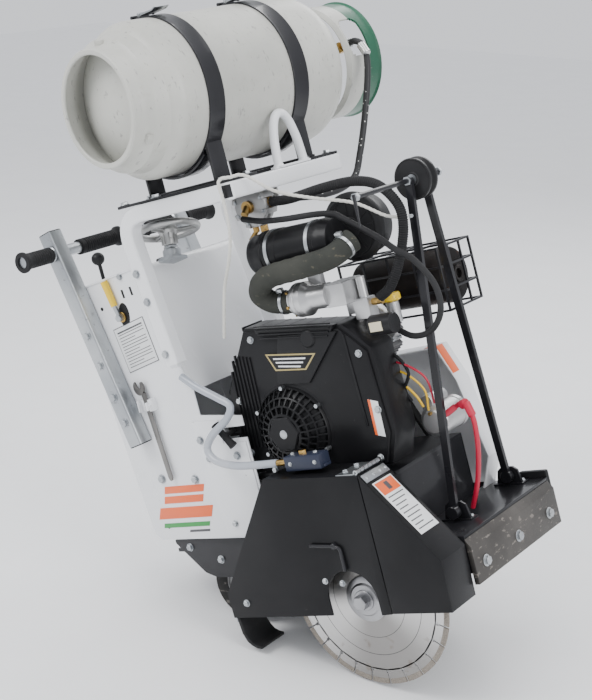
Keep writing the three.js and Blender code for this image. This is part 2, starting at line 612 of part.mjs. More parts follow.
cord('battery_cable', sweep([[172, 184, 310], [198, 180, 318], [214, 176, 290], [212, 174, 240], [200, 174, 190], [184, 176, 150],
  [162, 180, 110]], 5, 8, 24), 'red');
cord('pull_rope', sweep([[184, 166, 688], [150, 150, 700], [100, 128, 738], [40, 86, 766], [-20, 58, 796], [-62, 34, 838], [-86, 18, 842],
  [-96, 3, 843], [-100, -3, 832], [-99, -2, 800], [-104, -2, 740], [-125, 0, 690], [-160, 8, 640], [-184, 14, 590], [-206, 20, 540]],
3.5, 8, 64), 'rope');

// Nose-up stance, centred over the origin and standing on the floor.
chassis.rotation.y = radians(-noseUp);
const saw = new THREE.Group();
saw.add(chassis);
saw.updateMatrixWorld(true);
const extent = new THREE.Box3();
chassis.traverse((part) => {
  if (part.isMesh && part.parent !== cords) extent.expandByObject(part, true);
});
const middle = extent.getCenter(new THREE.Vector3());
chassis.position.set(-middle.x, -middle.y, -extent.min.z);

export default saw;
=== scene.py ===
import json
import math

import bmesh
import bpy
from mathutils import Matrix, Vector


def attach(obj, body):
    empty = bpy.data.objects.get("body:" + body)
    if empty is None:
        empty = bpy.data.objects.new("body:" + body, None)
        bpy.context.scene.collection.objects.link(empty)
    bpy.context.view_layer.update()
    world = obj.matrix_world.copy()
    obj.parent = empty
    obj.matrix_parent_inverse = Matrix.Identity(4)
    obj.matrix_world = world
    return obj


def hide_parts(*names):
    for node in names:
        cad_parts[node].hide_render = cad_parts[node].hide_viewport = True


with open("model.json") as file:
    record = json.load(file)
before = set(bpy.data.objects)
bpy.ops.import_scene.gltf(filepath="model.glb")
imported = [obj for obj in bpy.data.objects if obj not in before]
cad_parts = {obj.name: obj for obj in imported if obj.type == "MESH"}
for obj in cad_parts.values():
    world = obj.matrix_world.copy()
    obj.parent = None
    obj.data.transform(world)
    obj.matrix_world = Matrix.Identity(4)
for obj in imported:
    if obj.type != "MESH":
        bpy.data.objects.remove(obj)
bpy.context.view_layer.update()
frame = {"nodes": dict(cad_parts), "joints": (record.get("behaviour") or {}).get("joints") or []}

# ---- Stance ----
# The chassis stands nose-up about the blade shaft. Everything is drawn level and turned by this matrix.
joints = {joint["name"]: joint for joint in frame["joints"]}
NOSE_UP = math.radians(17.94)
blade_centre = Vector(joints["blade_spin"]["pos_m"])
CHASSIS = Matrix.Translation(blade_centre) @ Matrix.Rotation(-NOSE_UP, 4, "Y") @ Matrix.Scale(0.001, 4)

# ---- Camera, floor and light ----
# A long lens from the front right, a little above the saw, over a pale studio floor.
camera = bpy.data.objects.new("camera", bpy.data.cameras.new("camera"))
camera.data.lens = 74.6
camera.data.sensor_width = 36
camera.location = blade_centre + Vector((1.350, -2.107, 1.328))
camera.rotation_euler = (math.radians(90 - 18.32), 0, math.radians(35.86))
bpy.context.collection.objects.link(camera)
bpy.context.scene.camera = camera

world = bpy.data.worlds.new("studio")
world.use_nodes = True
world.node_tree.nodes["Background"].inputs["Color"].default_value = (0.93, 0.95, 1, 1)
world.node_tree.nodes["Background"].inputs["Strength"].default_value = 1.05
bpy.context.scene.world = world


def soft_light(name, place, aim, size, power):
    light = bpy.data.lights.new(name, "AREA")
    light.shape = "RECTANGLE"
    light.size, light.size_y = size
    light.energy = power
    lamp = bpy.data.objects.new(name, light)
    lamp.location = place
    lamp.rotation_euler = (Vector(aim) - Vector(place)).to_track_quat("-Z", "Y").to_euler()
    bpy.context.collection.objects.link(lamp)


soft_light("key", (-1.6, -2.2, 3.0), (0, 0, 0.5), (1.6, 1.6), 80)
soft_light("fill", (2.6, -0.6, 1.9), (0, 0, 0.6), (1.4, 2.0), 40)
soft_light("back", (-0.4, 2.8, 2.6), (0, 0, 0.8), (2.4, 1.2), 45)
soft_light("top", (0.2, 0, 3.2), (0, 0, 0.5), (2.0, 2.0), 22)

# ---- Shader words ----
# One class wraps a socket so that sums are written plainly; one builder makes every other node.


class Value:
    def __init__(self, tree, socket):
        self.tree, self.socket = tree, socket

    def math(self, operation, other=0.0, flip=False):
        node = self.tree.nodes.new("ShaderNodeMath")
        node.operation = operation
        for slot, item in zip(node.inputs, (other, self) if flip else (self, other)):
            if isinstance(item, Value):
                self.tree.links.new(item.socket, slot)
            else:
                slot.default_value = item
        return Value(self.tree, node.outputs[0])

    def __add__(self, other):
        return self.math("ADD", other)

    def __sub__(self, other):
        return self.math("SUBTRACT", other)

    def __rsub__(self, other):
        return self.math("SUBTRACT", other, flip=True)

    def __mul__(self, other):
        return self.math("MULTIPLY", other)

    def __gt__(self, other):
        return self.math("GREATER_THAN", other)

    def __lt__(self, other):
        return self.math("LESS_THAN", other)

    __radd__ = __add__
    __rmul__ = __mul__


class Finish:
    """A material whose nodes are made one at a time; Object coordinates are metres on the saw."""

    def __init__(self, name, **constants):
        self.material = bpy.data.materials.new(name)
        self.material.use_nodes = True
        self.tree = self.material.node_tree
        self.shader = self.tree.nodes["Principled BSDF"]
        for socket, value in constants.items():
            self.shader.inputs[socket.replace("_", " ")].default_value = value
        self.place = self.node("ShaderNodeTexCoord").outputs["Object"]

    def node(self, kind, settings=None, **inputs):
        made = self.tree.nodes.new(kind)
        for key, value in (settings or {}).items():
            if key == "stops":
                ramp = made.color_ramp
                ramp.elements[0].position, ramp.elements[0].color = value[0]
                ramp.elements[1].position, ramp.elements[1].color = value[1]
                for position, colour in value[2:]:
                    ramp.elements.new(position).color = colour
            else:
                setattr(made, key, value)
        for key, value in inputs.items():
            slot = made.inputs[int(key[1:]) if key[0] == "i" and key[1:].isdigit() else key.replace("_", " ")]
            if isinstance(value, Value):
                self.tree.links.new(value.socket, slot)
            elif isinstance(value, bpy.types.NodeSocket):
                self.tree.links.new(value, slot)
            else:
                slot.default_value = value
        return made

    def noise(self, scale, detail=4.0, roughness=0.55, stretch=None):
        place = self.place
        if stretch:
            place = self.node("ShaderNodeMapping", Vector=place, Scale=stretch).outputs[0]
        made = self.node("ShaderNodeTexNoise", Vector=place, Scale=scale, Detail=detail, Roughness=roughness)
        return Value(self.tree, made.outputs[0])

    def cells(self, scale, output="Distance", feature="F1"):
        made = self.node("ShaderNodeTexVoronoi", {"feature": feature}, Vector=self.place, Scale=scale)
        return Value(self.tree, made.outputs[output])

    def fade(self, value, low, high):
        made = self.node("ShaderNodeMapRange", {"interpolation_type": "SMOOTHSTEP"}, Value=value, i1=low,
                         i2=high)
        return Value(self.tree, made.outputs[0])

    def blend(self, factor, first, second):
        made = self.node("ShaderNodeMix", {"data_type": "RGBA"}, i0=factor, i6=first, i7=second)
        return made.outputs[2]

    def wear(self, colour=None, roughness=None, metallic=None, bump=None, depth=0.0004, strength=1.0):
        for socket, value in (("Base Color", colour), ("Roughness", roughness), ("Metallic", metallic)):
            if value is not None:
                source = value.socket if isinstance(value, Value) else value
                self.tree.links.new(source, self.shader.inputs[socket])
        if bump is not None:
            made = self.node("ShaderNodeBump", Height=bump, Distance=depth, Strength=strength)
            self.tree.links.new(made.outputs[0], self.shader.inputs["Normal"])
        return self.material


def rgb(r, g, b):
    return (r, g, b, 1.0)


def plain_finish(name, colour, shade, roughness, metallic=0.0, coat=0.0, grain=900.0, depth=0.00015,
                 scuff=None, amount=0.66):
    """Paint, rubber, plastic or metal: two close tones, uneven gloss, fine grain and a few scuffs."""
    made = Finish(name, Metallic=metallic, Coat_Weight=coat, Coat_Roughness=0.12, Specular_IOR_Level=0.5
                  if max(colour[:3]) > 0.05 else 0.16)
    broad, fine = made.noise(5.5, 5), made.noise(grain, 3)
    tone = made.blend(made.fade(broad, 0.35, 0.7), colour, shade)
    gloss = broad * 0.18 + (roughness - 0.09)
    if scuff:
        marks = made.fade(made.noise(46, 9, 0.68, (1, 1, 2.6)), amount, amount + 0.05)
        tone = made.blend(marks * 0.8, tone, scuff)
        gloss = gloss + marks * 0.18
    return made.wear(tone, gloss, None, fine + broad * 0.6, depth, 0.5)


# ---- Shaping ----
# A piece is drawn as parts in one mesh, each with softened edges, then set in place and given to its body.


class Work:
    def __init__(self):
        self.mesh = bmesh.new()
        self.slot = 0

    def keep(self, part, bevel=0.0, segments=2, turn=None):
        bmesh.ops.remove_doubles(part, verts=part.verts, dist=1e-4)
        bmesh.ops.recalc_face_normals(part, faces=part.faces)
        if bevel:
            sharp = [e for e in part.edges if len(e.link_faces) == 2 and e.calc_face_angle() > 0.5]
            bmesh.ops.bevel(part, geom=sharp, offset=bevel, segments=segments, profile=0.6, affect="EDGES",
                            clamp_overlap=True)
        if turn is not None:
            bmesh.ops.transform(part, matrix=turn, verts=part.verts)
        for face in part.faces:
            face.material_index = self.slot
        temporary = bpy.data.meshes.new("part")
        part.to_mesh(temporary)
        part.free()
        self.mesh.from_mesh(temporary)
        bpy.data.meshes.remove(temporary)
        return self

    def box(self, x, y, z, bevel=1.2, turn=None):
        part = bmesh.new()
        bmesh.ops.create_cube(part, size=1)
        for v in part.verts:
            v.co = Vector([(s[0] + s[1]) / 2 + c * (s[1] - s[0]) for s, c in zip((x, y, z), v.co)])
        return self.keep(part, bevel, turn=turn)

    def plate(self, points, y, bevel=0.8, axis="y", turn=None):
        """An outline in X and Z between two Y planes; axis x draws in Y and Z, axis z in X and Y."""
        order = {"y": lambda a, b, d: (a, d, b), "x": lambda a, b, d: (d, a, b), "z": lambda a, b,
                 d: (a, b, d)}[axis]
        part = bmesh.new()
        rings = [[part.verts.new(order(a, b, d)) for a, b in points] for d in y]
        part.faces.new(rings[0])
        part.faces.new(rings[1])
        for i in range(len(points)):
            j = (i + 1) % len(points)
            part.faces.new((rings[0][i], rings[0][j], rings[1][j], rings[1][i]))
        return self.keep(part, bevel, turn=turn)

    def turned(self, profile, place=(0, 0, 0), axis="y", sides=64, turn=None):
        """Radius and distance pairs spun about the axis; ends off the axis are joined to each other."""
        part = bmesh.new()
        rings = []
        for radius, distance in profile:
            ring = []
            for i in range(1 if radius < 1e-6 else sides):
                a, b = radius * math.cos(i * math.tau / sides), radius * math.sin(i * math.tau / sides)
                spot = {"y": (a, distance, b), "x": (distance, a, b), "z": (a, b, distance)}[axis]
                ring.append(part.verts.new(Vector(place) + Vector(spot)))
            rings.append(ring)
        pairs = list(zip(rings, rings[1:]))
        if len(rings[0]) > 1 and len(rings[-1]) > 1:
            pairs.append((rings[-1], rings[0]))
        for first, second in pairs:
            for i in range(sides):
                j = (i + 1) % sides
                corner = [first[i % len(first)], first[j % len(first)], second[j % len(second)],
                          second[i % len(second)]]
                corner = list(dict.fromkeys(corner))
                if len(corner) > 2:
                    part.faces.new(corner)
        return self.keep(part, turn=turn)

    def rod(self, start, end, radius, sides=24, bevel=0.6, taper=1.0):
        run = Vector(end) - Vector(start)
        turn = Matrix.Translation(start) @ run.to_track_quat("Z", "Y").to_matrix().to_4x4()
        b, length, tip = min(bevel, radius * 0.5, run.length * 0.4), run.length, radius * taper
        profile = [(0, 0), (radius - b, 0), (radius, b), (tip, length - b), (tip - b, length), (0, length)]
        return self.turned(profile, axis="z", sides=sides, turn=turn)

    def sweep(self, points, section, closed=False):
        """A section of (across, up) pairs carried along a line of points without twisting."""
        part = bmesh.new()
        path = [Vector(p) for p in points]
        rings, count = [], len(path)
        side = None
        for i, spot in enumerate(path):
            before = path[i - 1] if i or closed else path[0]
            after = path[(i + 1) % count] if i + 1 < count or closed else path[-1]
            run = (after - before).normalized()
            if side is None:
                side = Vector((0, 1, 0)) if abs(run.y) < 0.9 else Vector((1, 0, 0))
            side = (side - run * side.dot(run)).normalized()
            up = run.cross(side)
            now = section(i / (count - 1)) if callable(section) else section
            rings.append([part.verts.new(spot + side * a + up * b) for a, b in now])
        for i in range(count if closed else count - 1):
            first, second = rings[i], rings[(i + 1) % count]
            for k in range(len(first)):
                m = (k + 1) % len(first)
                part.faces.new((first[k], first[m], second[m], second[k]))
        if not closed:
            part.faces.new(rings[0])
            part.faces.new(rings[-1])
        return self.keep(part)


def circle(radius, sides=16):
    return [(radius * math.cos(i * math.tau / sides), radius * math.sin(i * math.tau / sides))
            for i in range(sides)]


def soft_square(size, corner, steps=4):
    points = []
    for quarter, (a, b) in enumerate(((1, 1), (-1, 1), (-1, -1), (1, -1))):
        for i in range(steps + 1):
            angle = (quarter + i / steps) * math.pi / 2
            points.append((a * (size / 2 - corner) + corner * math.cos(angle), b * (size / 2 - corner)
                           + corner * math.sin(angle)))
    return points


def smooth_line(points, steps):
    """A smooth curve through the points, read at even distances along it."""
    p = [Vector(q) for q in points]
    p = [p[0] * 2 - p[1]] + p + [p[-1] * 2 - p[-2]]
    dense = []
    for i in range(1, len(p) - 2):
        for k in range(24):
            t = k / 24
            a, b = (p[i + 1] - p[i - 1]) * 0.5, (p[i + 2] - p[i]) * 0.5
            d = p[i] - p[i + 1]
            dense.append(p[i] + a * t + (-3 * d - 2 * a - b) * t * t + (2 * d + a + b) * t**3)
    dense.append(p[-2])
    walked = [0.0]
    for first, second in zip(dense, dense[1:]):
        walked.append(walked[-1] + (second - first).length)
    line, at = [], 0
    for k in range(steps + 1):
        goal = walked[-1] * k / steps
        while at < len(dense) - 2 and walked[at + 1] < goal:
            at += 1
        span = walked[at + 1] - walked[at] or 1.0
        line.append(dense[at].lerp(dense[at + 1], (goal - walked[at]) / span))
    return line


def bent(points, radius, steps=6):
    """A polyline with its corners rounded, as a tube bender leaves them."""
    p = [Vector(q) for q in points]
    line = [p[0]]
    for before, corner, after in zip(p, p[1:], p[2:]):
        a = corner + (before - corner).normalized() * min(radius, (before - corner).length * 0.45)
        b = corner + (after - corner).normalized() * min(radius, (after - corner).length * 0.45)
        for k in range(steps + 1):
            t = k / steps
            line.append(a.lerp(corner, t).lerp(corner.lerp(b, t), t))
    return line + [p[-1]]


def piece(name, work, finishes, body="chassis", replaces=(), place=CHASSIS, sharp=35):
    mesh = bpy.data.meshes.new(name)
    bmesh.ops.transform(work.mesh, matrix=place, verts=work.mesh.verts)
    work.mesh.to_mesh(mesh)
    work.mesh.free()
    for finish in finishes if isinstance(finishes, (list, tuple)) else [finishes]:
        mesh.materials.append(finish)
    mesh.shade_smooth()
    mesh.set_sharp_from_angle(angle=math.radians(sharp))
    made = bpy.data.objects.new(name, mesh)
    bpy.context.collection.objects.link(made)
    if body:
        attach(made, body)
    if replaces:
        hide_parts(*replaces)
    return made


studio = plain_finish("studio_floor", rgb(0.95, 0.955, 0.96), rgb(0.93, 0.935, 0.94), 0.6, grain=40,
                      depth=0.0001)
floor_slab = Work()
floor_slab.box((-9, 9), (-9, 9), (-0.05, 0), bevel=0)
floor = piece("floor", floor_slab, studio, body=None, place=Matrix.Identity(4))

# ---- Hoses, battery cable and pull rope ----
# Rubber hoses run from the cylinder to the regulator and on to the mixer, a clear hose carries the water,
# a red lead feeds the starter and a white braided rope lifts the front guide. Each is one length between its fittings.


def lead(name, points, radius, finish, node, steps, sides=16, section=None):
    line = smooth_line(points, steps)
    made = piece(name, Work().sweep(line, section or circle(radius, sides)), finish, replaces=(node,),
                 sharp=60)
    path = [CHASSIS @ p for p in line]
    length = sum((b - a).length for a, b in zip(path, path[1:]))


speckled = Finish("speckled_hose", Coat_Weight=0.1)
speck = speckled.cells(105) < 0.17
braid_grain = speckled.noise(1500, 2)
speckled_hose = speckled.wear(speckled.blend(speck, rgb(0.012, 0.012, 0.013), rgb(0.55, 0.55, 0.52)),
                              braid_grain * 0.3 + 0.4,
                              None, braid_grain, 0.0002)
black_rubber = plain_finish("black_rubber", rgb(0.012, 0.012, 0.013), rgb(0.03, 0.03, 0.031), 0.55, grain=700,
                            scuff=rgb(0.09, 0.085, 0.08))
clear_hose_finish = plain_finish("clear_hose", rgb(0.36, 0.39, 0.44), rgb(0.44, 0.46, 0.5), 0.26, coat=0.4,
                                 grain=260, depth=0.0002)
red_cable_finish = plain_finish("red_cable", rgb(0.42, 0.008, 0.035), rgb(0.5, 0.012, 0.045), 0.42, grain=900)
rope_finish = plain_finish("braided_rope", rgb(0.72, 0.71, 0.66), rgb(0.56, 0.55, 0.5), 0.85, grain=2400,
                           depth=0.0006)

lead("fuel_supply_hose",
     [(-77, 505, 1053), (-57, 500, 1052), (-36, 493, 1037), (-28, 481, 1004), (-34, 465, 950),
      (-46, 440, 880),
     (-56, 412, 820), (-62, 385, 780), (-70, 340, 762), (-86, 285, 760), (-108, 232, 768), (-138, 206, 774),
        (-150, 188, 775)],
     7, speckled_hose, "fuel_hose", 90)


def ribbed(t):
    return circle(8.7 + 1.3 * abs(math.sin(math.pi * 118 * t)), 18)


lead("ribbed_fuel_hose",
     [(-109.5, 150, 775), (-60, 150, 772), (30, 146, 778), (100, 150, 776), (150, 150, 758), (182, 150, 715),
     (186, 142, 670), (168, 128, 612), (140, 122, 570), (112, 118, 553)], 10, black_rubber, "corrugated_hose",
     590, section=ribbed)
lead("breather_hose", [(-150, 100, 756), (-100, 96, 744), (-45, 98, 738), (20, 104, 734), (60, 106, 728),
                       (80, 108, 716),
     (150, 104, 668), (180, 106, 640), (212, 112, 612), (238, 120, 560), (236, 122, 510), (205, 124, 476),
        (160, 126, 470),
     (118, 128, 494)], 6, black_rubber, "vent_hose", 110)
lead("clear_water_hose",
     [(-356, 30, 474), (-320, 28, 448), (-270, 26, 420), (-240, 22, 402), (-250, 14, 378), (-292, 6, 350),
     (-312, 2, 322), (-290, -4, 298), (-240, -8, 286), (-180, -10, 284), (-128.4, -10, 284)], 8,
        clear_hose_finish, "water_hose",
     90)
lead("starter_lead", [(172, 184, 310), (198, 180, 318), (214, 176, 290), (212, 174, 240), (200, 174, 190),
                      (184, 176, 150),
     (162, 180, 110)], 5, red_cable_finish, "battery_cable", 60)


def stranded(t):
    turn = math.tau * 70 * t
    return [(r * math.cos(a), r * math.sin(a)) for a in (k * math.tau / 12 for k in range(12))
            for r in (3.1 + 0.4 * math.cos(3 * a - turn),)]


lead("guide_rope", [(184, 166, 688), (150, 150, 700), (100, 128, 738), (40, 86, 766), (-20, 58, 796),
                    (-62, 34, 838), (-86, 18, 842),
     (-96, 3, 843), (-100, -3, 832), (-99, -2, 800), (-104, -2, 740), (-125, 0, 690), (-160, 8, 640),
        (-184, 14, 590), (-206, 20, 540)],
     3.5, rope_finish, "pull_rope", 620, section=stranded)

# ---- Fasteners ----
# Hex bolts with washers and domed rivets. One stamp of each is set at every place by a small node tree.


def stamp(name, kind):
    work = Work()
    if kind == "bolt":
        work.turned([(0, 0), (1.28, 0), (1.3, 0.12), (1.24, 0.2), (0, 0.2)], axis="z", sides=20)
        work.turned([(0, 0.2), (1, 0.2), (1, 0.72), (0.86, 0.86), (0.3, 0.86), (0.26, 0.8), (0, 0.8)],
                    axis="z", sides=6)
    else:
        work.turned([(0, 0), (1, 0), (0.93, 0.28), (0.7, 0.5), (0.36, 0.6), (0, 0.62)], axis="z", sides=16)
    return piece(name, work, [], body=None, place=Matrix.Identity(4), sharp=40)


def fastener_tree():
    tree = bpy.data.node_groups.new("fastener_places", "GeometryNodeTree")
    for label, kind, way in (("Places", "NodeSocketGeometry", "INPUT"),
                             ("Stamp", "NodeSocketObject", "INPUT"),
                             ("Finish", "NodeSocketMaterial", "INPUT"),
                             ("Fasteners", "NodeSocketGeometry", "OUTPUT")):
        tree.interface.new_socket(label, in_out=way, socket_type=kind)
    add, join = tree.nodes.new, tree.links.new
    entry, leave = add("NodeGroupInput"), add("NodeGroupOutput")
    stamped = add("GeometryNodeObjectInfo")
    facing, size = add("GeometryNodeInputNamedAttribute"), add("GeometryNodeInputNamedAttribute")
    facing.data_type, facing.inputs["Name"].default_value = "FLOAT_VECTOR", "facing"
    size.data_type, size.inputs["Name"].default_value = "FLOAT", "size"
    aim, place = add("FunctionNodeAlignRotationToVector"), add("GeometryNodeInstanceOnPoints")
    real, paint = add("GeometryNodeRealizeInstances"), add("GeometryNodeSetMaterial")
    join(entry.outputs["Stamp"], stamped.inputs["Object"])
    join(facing.outputs["Attribute"], aim.inputs["Vector"])
    join(entry.outputs["Places"], place.inputs["Points"])
    join(stamped.outputs["Geometry"], place.inputs["Instance"])
    join(aim.outputs[0], place.inputs["Rotation"])
    join(size.outputs["Attribute"], place.inputs["Scale"])
    join(place.outputs[0], real.inputs[0])
    join(real.outputs[0], paint.inputs["Geometry"])
    join(entry.outputs["Finish"], paint.inputs["Material"])
    join(paint.outputs[0], leave.inputs[0])
    return tree


fasteners = fastener_tree()
stamps = {kind: stamp("stamp_" + kind, kind) for kind in ("bolt", "rivet")}


def fasten(name, kind, spots, finish, body="chassis", place=CHASSIS):
    """Each spot is a place, the way it faces and its radius in millimetres."""
    mesh = bpy.data.meshes.new(name)
    mesh.from_pydata([place @ Vector(at) for at, way, size in spots], [], [])
    turn = place.to_3x3().normalized()
    mesh.attributes.new("facing", "FLOAT_VECTOR", "POINT")
    mesh.attributes.new("size", "FLOAT", "POINT")
    for i, (at, way, radius) in enumerate(spots):
        mesh.attributes["facing"].data[i].vector = (turn @ Vector(way)).normalized()
        mesh.attributes["size"].data[i].value = radius / 1000
    made = bpy.data.objects.new(name, mesh)
    bpy.context.collection.objects.link(made)
    modifier = made.modifiers.new("places", "NODES")
    modifier.node_group = fasteners
    for item in fasteners.interface.items_tree:
        if item.name == "Stamp":
            modifier[item.identifier] = stamps[kind]
        elif item.name == "Finish":
            modifier[item.identifier] = finish
    solid = bpy.data.meshes.new_from_object(made.evaluated_get(bpy.context.evaluated_depsgraph_get()))
    made.modifiers.clear()
    made.data = solid
    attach(made, body)


zinc = plain_finish("zinc_plate", rgb(0.5, 0.52, 0.53), rgb(0.36, 0.38, 0.4), 0.34, metallic=0.95, grain=260,
                    depth=0.0002,
                    scuff=rgb(0.22, 0.22, 0.22), amount=0.62)
black_paint = plain_finish("black_paint", rgb(0.012, 0.012, 0.014), rgb(0.02, 0.02, 0.023), 0.3, coat=0.35,
                           grain=340, depth=0.0003,
                           scuff=rgb(0.13, 0.125, 0.12), amount=0.68)

# ---- Fuel cylinder ----
# A pressed steel gas cylinder lying across the machine: two dished ends welded round the middle, a rolled foot ring,
# a valve collar with a hand window and a green band, and a brass valve with a black knob.
TANK = CHASSIS @ Matrix.Translation((-223, 250, 1029)) @ Matrix.Rotation(math.radians(-10.3), 4, "Z")
END = 335
RADIUS = 155.5
skin = Finish("cylinder_paint", Coat_Weight=0.15, Coat_Roughness=0.25)
broad, dirt = skin.noise(4.2, 6), skin.noise(30, 10, 0.7)
scratch = skin.fade(skin.noise(34, 6, 0.6, (1.4, 5.0, 1.4)), 0.61, 0.68)
chips = skin.fade(skin.noise(120, 6, 0.65), 0.68, 0.72) * skin.fade(broad, 0.45, 0.6)
tone = skin.blend(skin.fade(broad, 0.3, 0.72), rgb(0.55, 0.55, 0.505), rgb(0.42, 0.42, 0.385))
tone = skin.blend(skin.fade(dirt, 0.55, 0.85) * 0.4, tone, rgb(0.3, 0.28, 0.24))
tone = skin.blend(scratch * 0.75, tone, rgb(0.26, 0.25, 0.24))
tone = skin.blend(chips * 0.7, tone, rgb(0.16, 0.1, 0.06))
cylinder_paint = skin.wear(tone, scratch * 0.2 + (dirt * 0.15 + 0.36), None, broad * 1.0 + dirt * 0.15,
                           0.0025, 0.35)
green_band = plain_finish("green_band", rgb(0.004, 0.085, 0.04), rgb(0.006, 0.12, 0.055), 0.4, coat=0.2,
                          grain=300, depth=0.0004,
                          scuff=rgb(0.3, 0.32, 0.28), amount=0.64)


def dome(start, height, inward):
    """Half an ellipse of radius and distance, from the wall to the axis."""
    return [(RADIUS * math.cos(a), start + inward * height * math.sin(a))
            for a in (k * math.pi / 28 for k in range(15))]


body = Work()
front = [(r, d) for r, d in dome(-END + 100, 62, -1) if r > 5] + [(0, -END + 38)]
rear = [(r, d) for r, d in dome(END - 178, 92, 1) if r > 16] + [(16, END - 86.5), (16, END - 84),
        (0, END - 84)]
seam = [(RADIUS - 0.4, -END + 190), (RADIUS + 0.1, -END + 193), (RADIUS - 0.5, -END + 197),
        (RADIUS - 0.4, -END + 200)]
body.turned(front[::-1] + seam + rear, sides=96)
ring = [(104, -END + 2), (106, -END), (113, -END), (115.5, -END + 3), (116, -END + 20), (121, -END + 33),
        (131, -END + 41),
        (138, -END + 72), (131, -END + 72), (125, -END + 50), (117, -END + 40), (111, -END + 24),
        (110, -END + 6), (107, -END + 8), (104, -END + 5)]
body.turned(ring + ring[:1], sides=96)
for k in range(3):
    turn = Matrix.Rotation(math.radians(40 + 120 * k), 4, "Y")
    body.box((118, 128), (-END + 26, -END + 41), (-9, 9), 2, turn=turn)


def collar(work):
    around, deep = 200, 40
    low, high = END - 96, END
    part = bmesh.new()

    def kept(i, j):
        angle = (i + 0.5) / around * 360
        along = (j + 0.5) / deep
        a, b = min(abs(angle - 17), 360 - abs(angle - 17)) / 20.5, abs(along - 0.42) / 0.29
        return a**4 + b**4 > 1

    wall = {}
    for side, radius in enumerate((122, 117.5)):
        for i in range(around):
            for j in range(deep + 1):
                lip = 1.8 * max(0, (j - deep + 2)) - 8 * max(0, (3 - j)) / 3
                a = i * math.tau / around
                r = radius + lip * (1 if side == 0 else 0.6)
                wall[side, i, j] = part.verts.new((r * math.cos(a), low + (high - low) * j / deep,
                                                   r * math.sin(a)))
    for i in range(around):
        n = (i + 1) % around
        for j in range(deep):
            if not kept(i, j):
                continue
            for side in (0, 1):
                part.faces.new([wall[side, a, b] for a, b in ((i, j), (n, j), (n, j + 1), (i, j + 1))][:: 1
                        if side else -1])
            for a, b, c, d, other in ((i, j, n, j, (i, j - 1)), (i, j + 1, n, j + 1, (i, j + 1)),
                                      (i, j, i, j + 1, (i - 1, j)),
                                      (n, j, n, j + 1, (n, j))):
                outside = not 0 <= other[1] < deep
                if outside or not kept(other[0] % around, other[1]):
                    part.faces.new((wall[0, a, b], wall[0, c, d], wall[1, c, d], wall[1, a, b]))
    bmesh.ops.delete(part, geom=[v for v in part.verts if not v.link_faces], context="VERTS")
    work.keep(part)


collar(body)
cylinder = piece("gas_cylinder", body, [cylinder_paint, green_band], replaces=("fuel_cylinder",),
                 place=TANK)
to_tank = TANK.inverted()
for face in cylinder.data.polygons:
    spot = to_tank @ face.center
    if spot.y > END - 46:
        face.material_index = 1

brass = plain_finish("brass", rgb(0.5, 0.32, 0.1), rgb(0.34, 0.22, 0.08), 0.32, metallic=1, grain=300,
                     depth=0.0003,
                     scuff=rgb(0.14, 0.1, 0.05), amount=0.58)
valve = Work()
valve.turned([(0, END - 84), (17, END - 84), (17, END - 77), (13, END - 73), (13, END - 48), (9, END - 44),
              (0, END - 44)], (0, 0, 10), sides=24)
valve.turned([(0, END - 82), (19, END - 82), (19, END - 72), (0, END - 72)], (0, 0, 10), sides=6)
valve.rod((10, END - 58, 11.5), (62, END - 58, 19), 9, bevel=1.5)
valve.rod((60, END - 58, 18.7), (76, END - 58, 21), 13, sides=6, bevel=1.5)
valve.rod((76, END - 58, 21), (92, END - 58, 23.3), 8, bevel=1)
valve.rod((0, END - 58, 10), (-24, END - 58, 7), 8, bevel=1)
valve.rod((-24, END - 58, 7), (-32, END - 58, 6), 10, sides=6, bevel=1)
piece("gas_valve", valve, brass, replaces=("cylinder_valve",), place=TANK)
steel_fitting = plain_finish("bright_fitting", rgb(0.62, 0.62, 0.61), rgb(0.45, 0.45, 0.45), 0.24, metallic=1,
                             grain=500)
fitting = Work()
fitting.rod((91, END - 58, 23.2), (101, END - 58.5, 24), 11, sides=6, bevel=1)
ferrule, hose_way = Vector((-40, 490, 1041)), Vector((0.55, -0.35, -0.75))
fitting.rod(to_tank @ (CHASSIS @ ferrule), to_tank @ (CHASSIS @ (ferrule + hose_way * 30)), 9.4, bevel=1.4)
piece("hose_ferrule", fitting, steel_fitting, place=TANK)

moulded_black = plain_finish("moulded_black", rgb(0.014, 0.014, 0.015), rgb(0.022, 0.022, 0.023), 0.42,
                             coat=0.08, grain=1100, depth=0.00035,
                             scuff=rgb(0.08, 0.078, 0.075), amount=0.7)
knob = Work()
fluted = [(math.cos(k * math.tau / 96) * (20 + 2 * math.cos(8 * k * math.tau / 96)), 10
           + math.sin(k * math.tau / 96) *
           (20 + 2 * math.cos(8 * k * math.tau / 96))) for k in range(96)]
knob.plate(fluted, (END - 39.5, END - 26), 1.5)
knob.turned([(0, END - 26), (9, END - 26), (7, END - 23), (0, END - 22.5)], (0, 0, 10), sides=24)
piece("valve_knob_cap", knob, moulded_black, body="tank_knob", replaces=("valve_knob",),
      place=TANK)

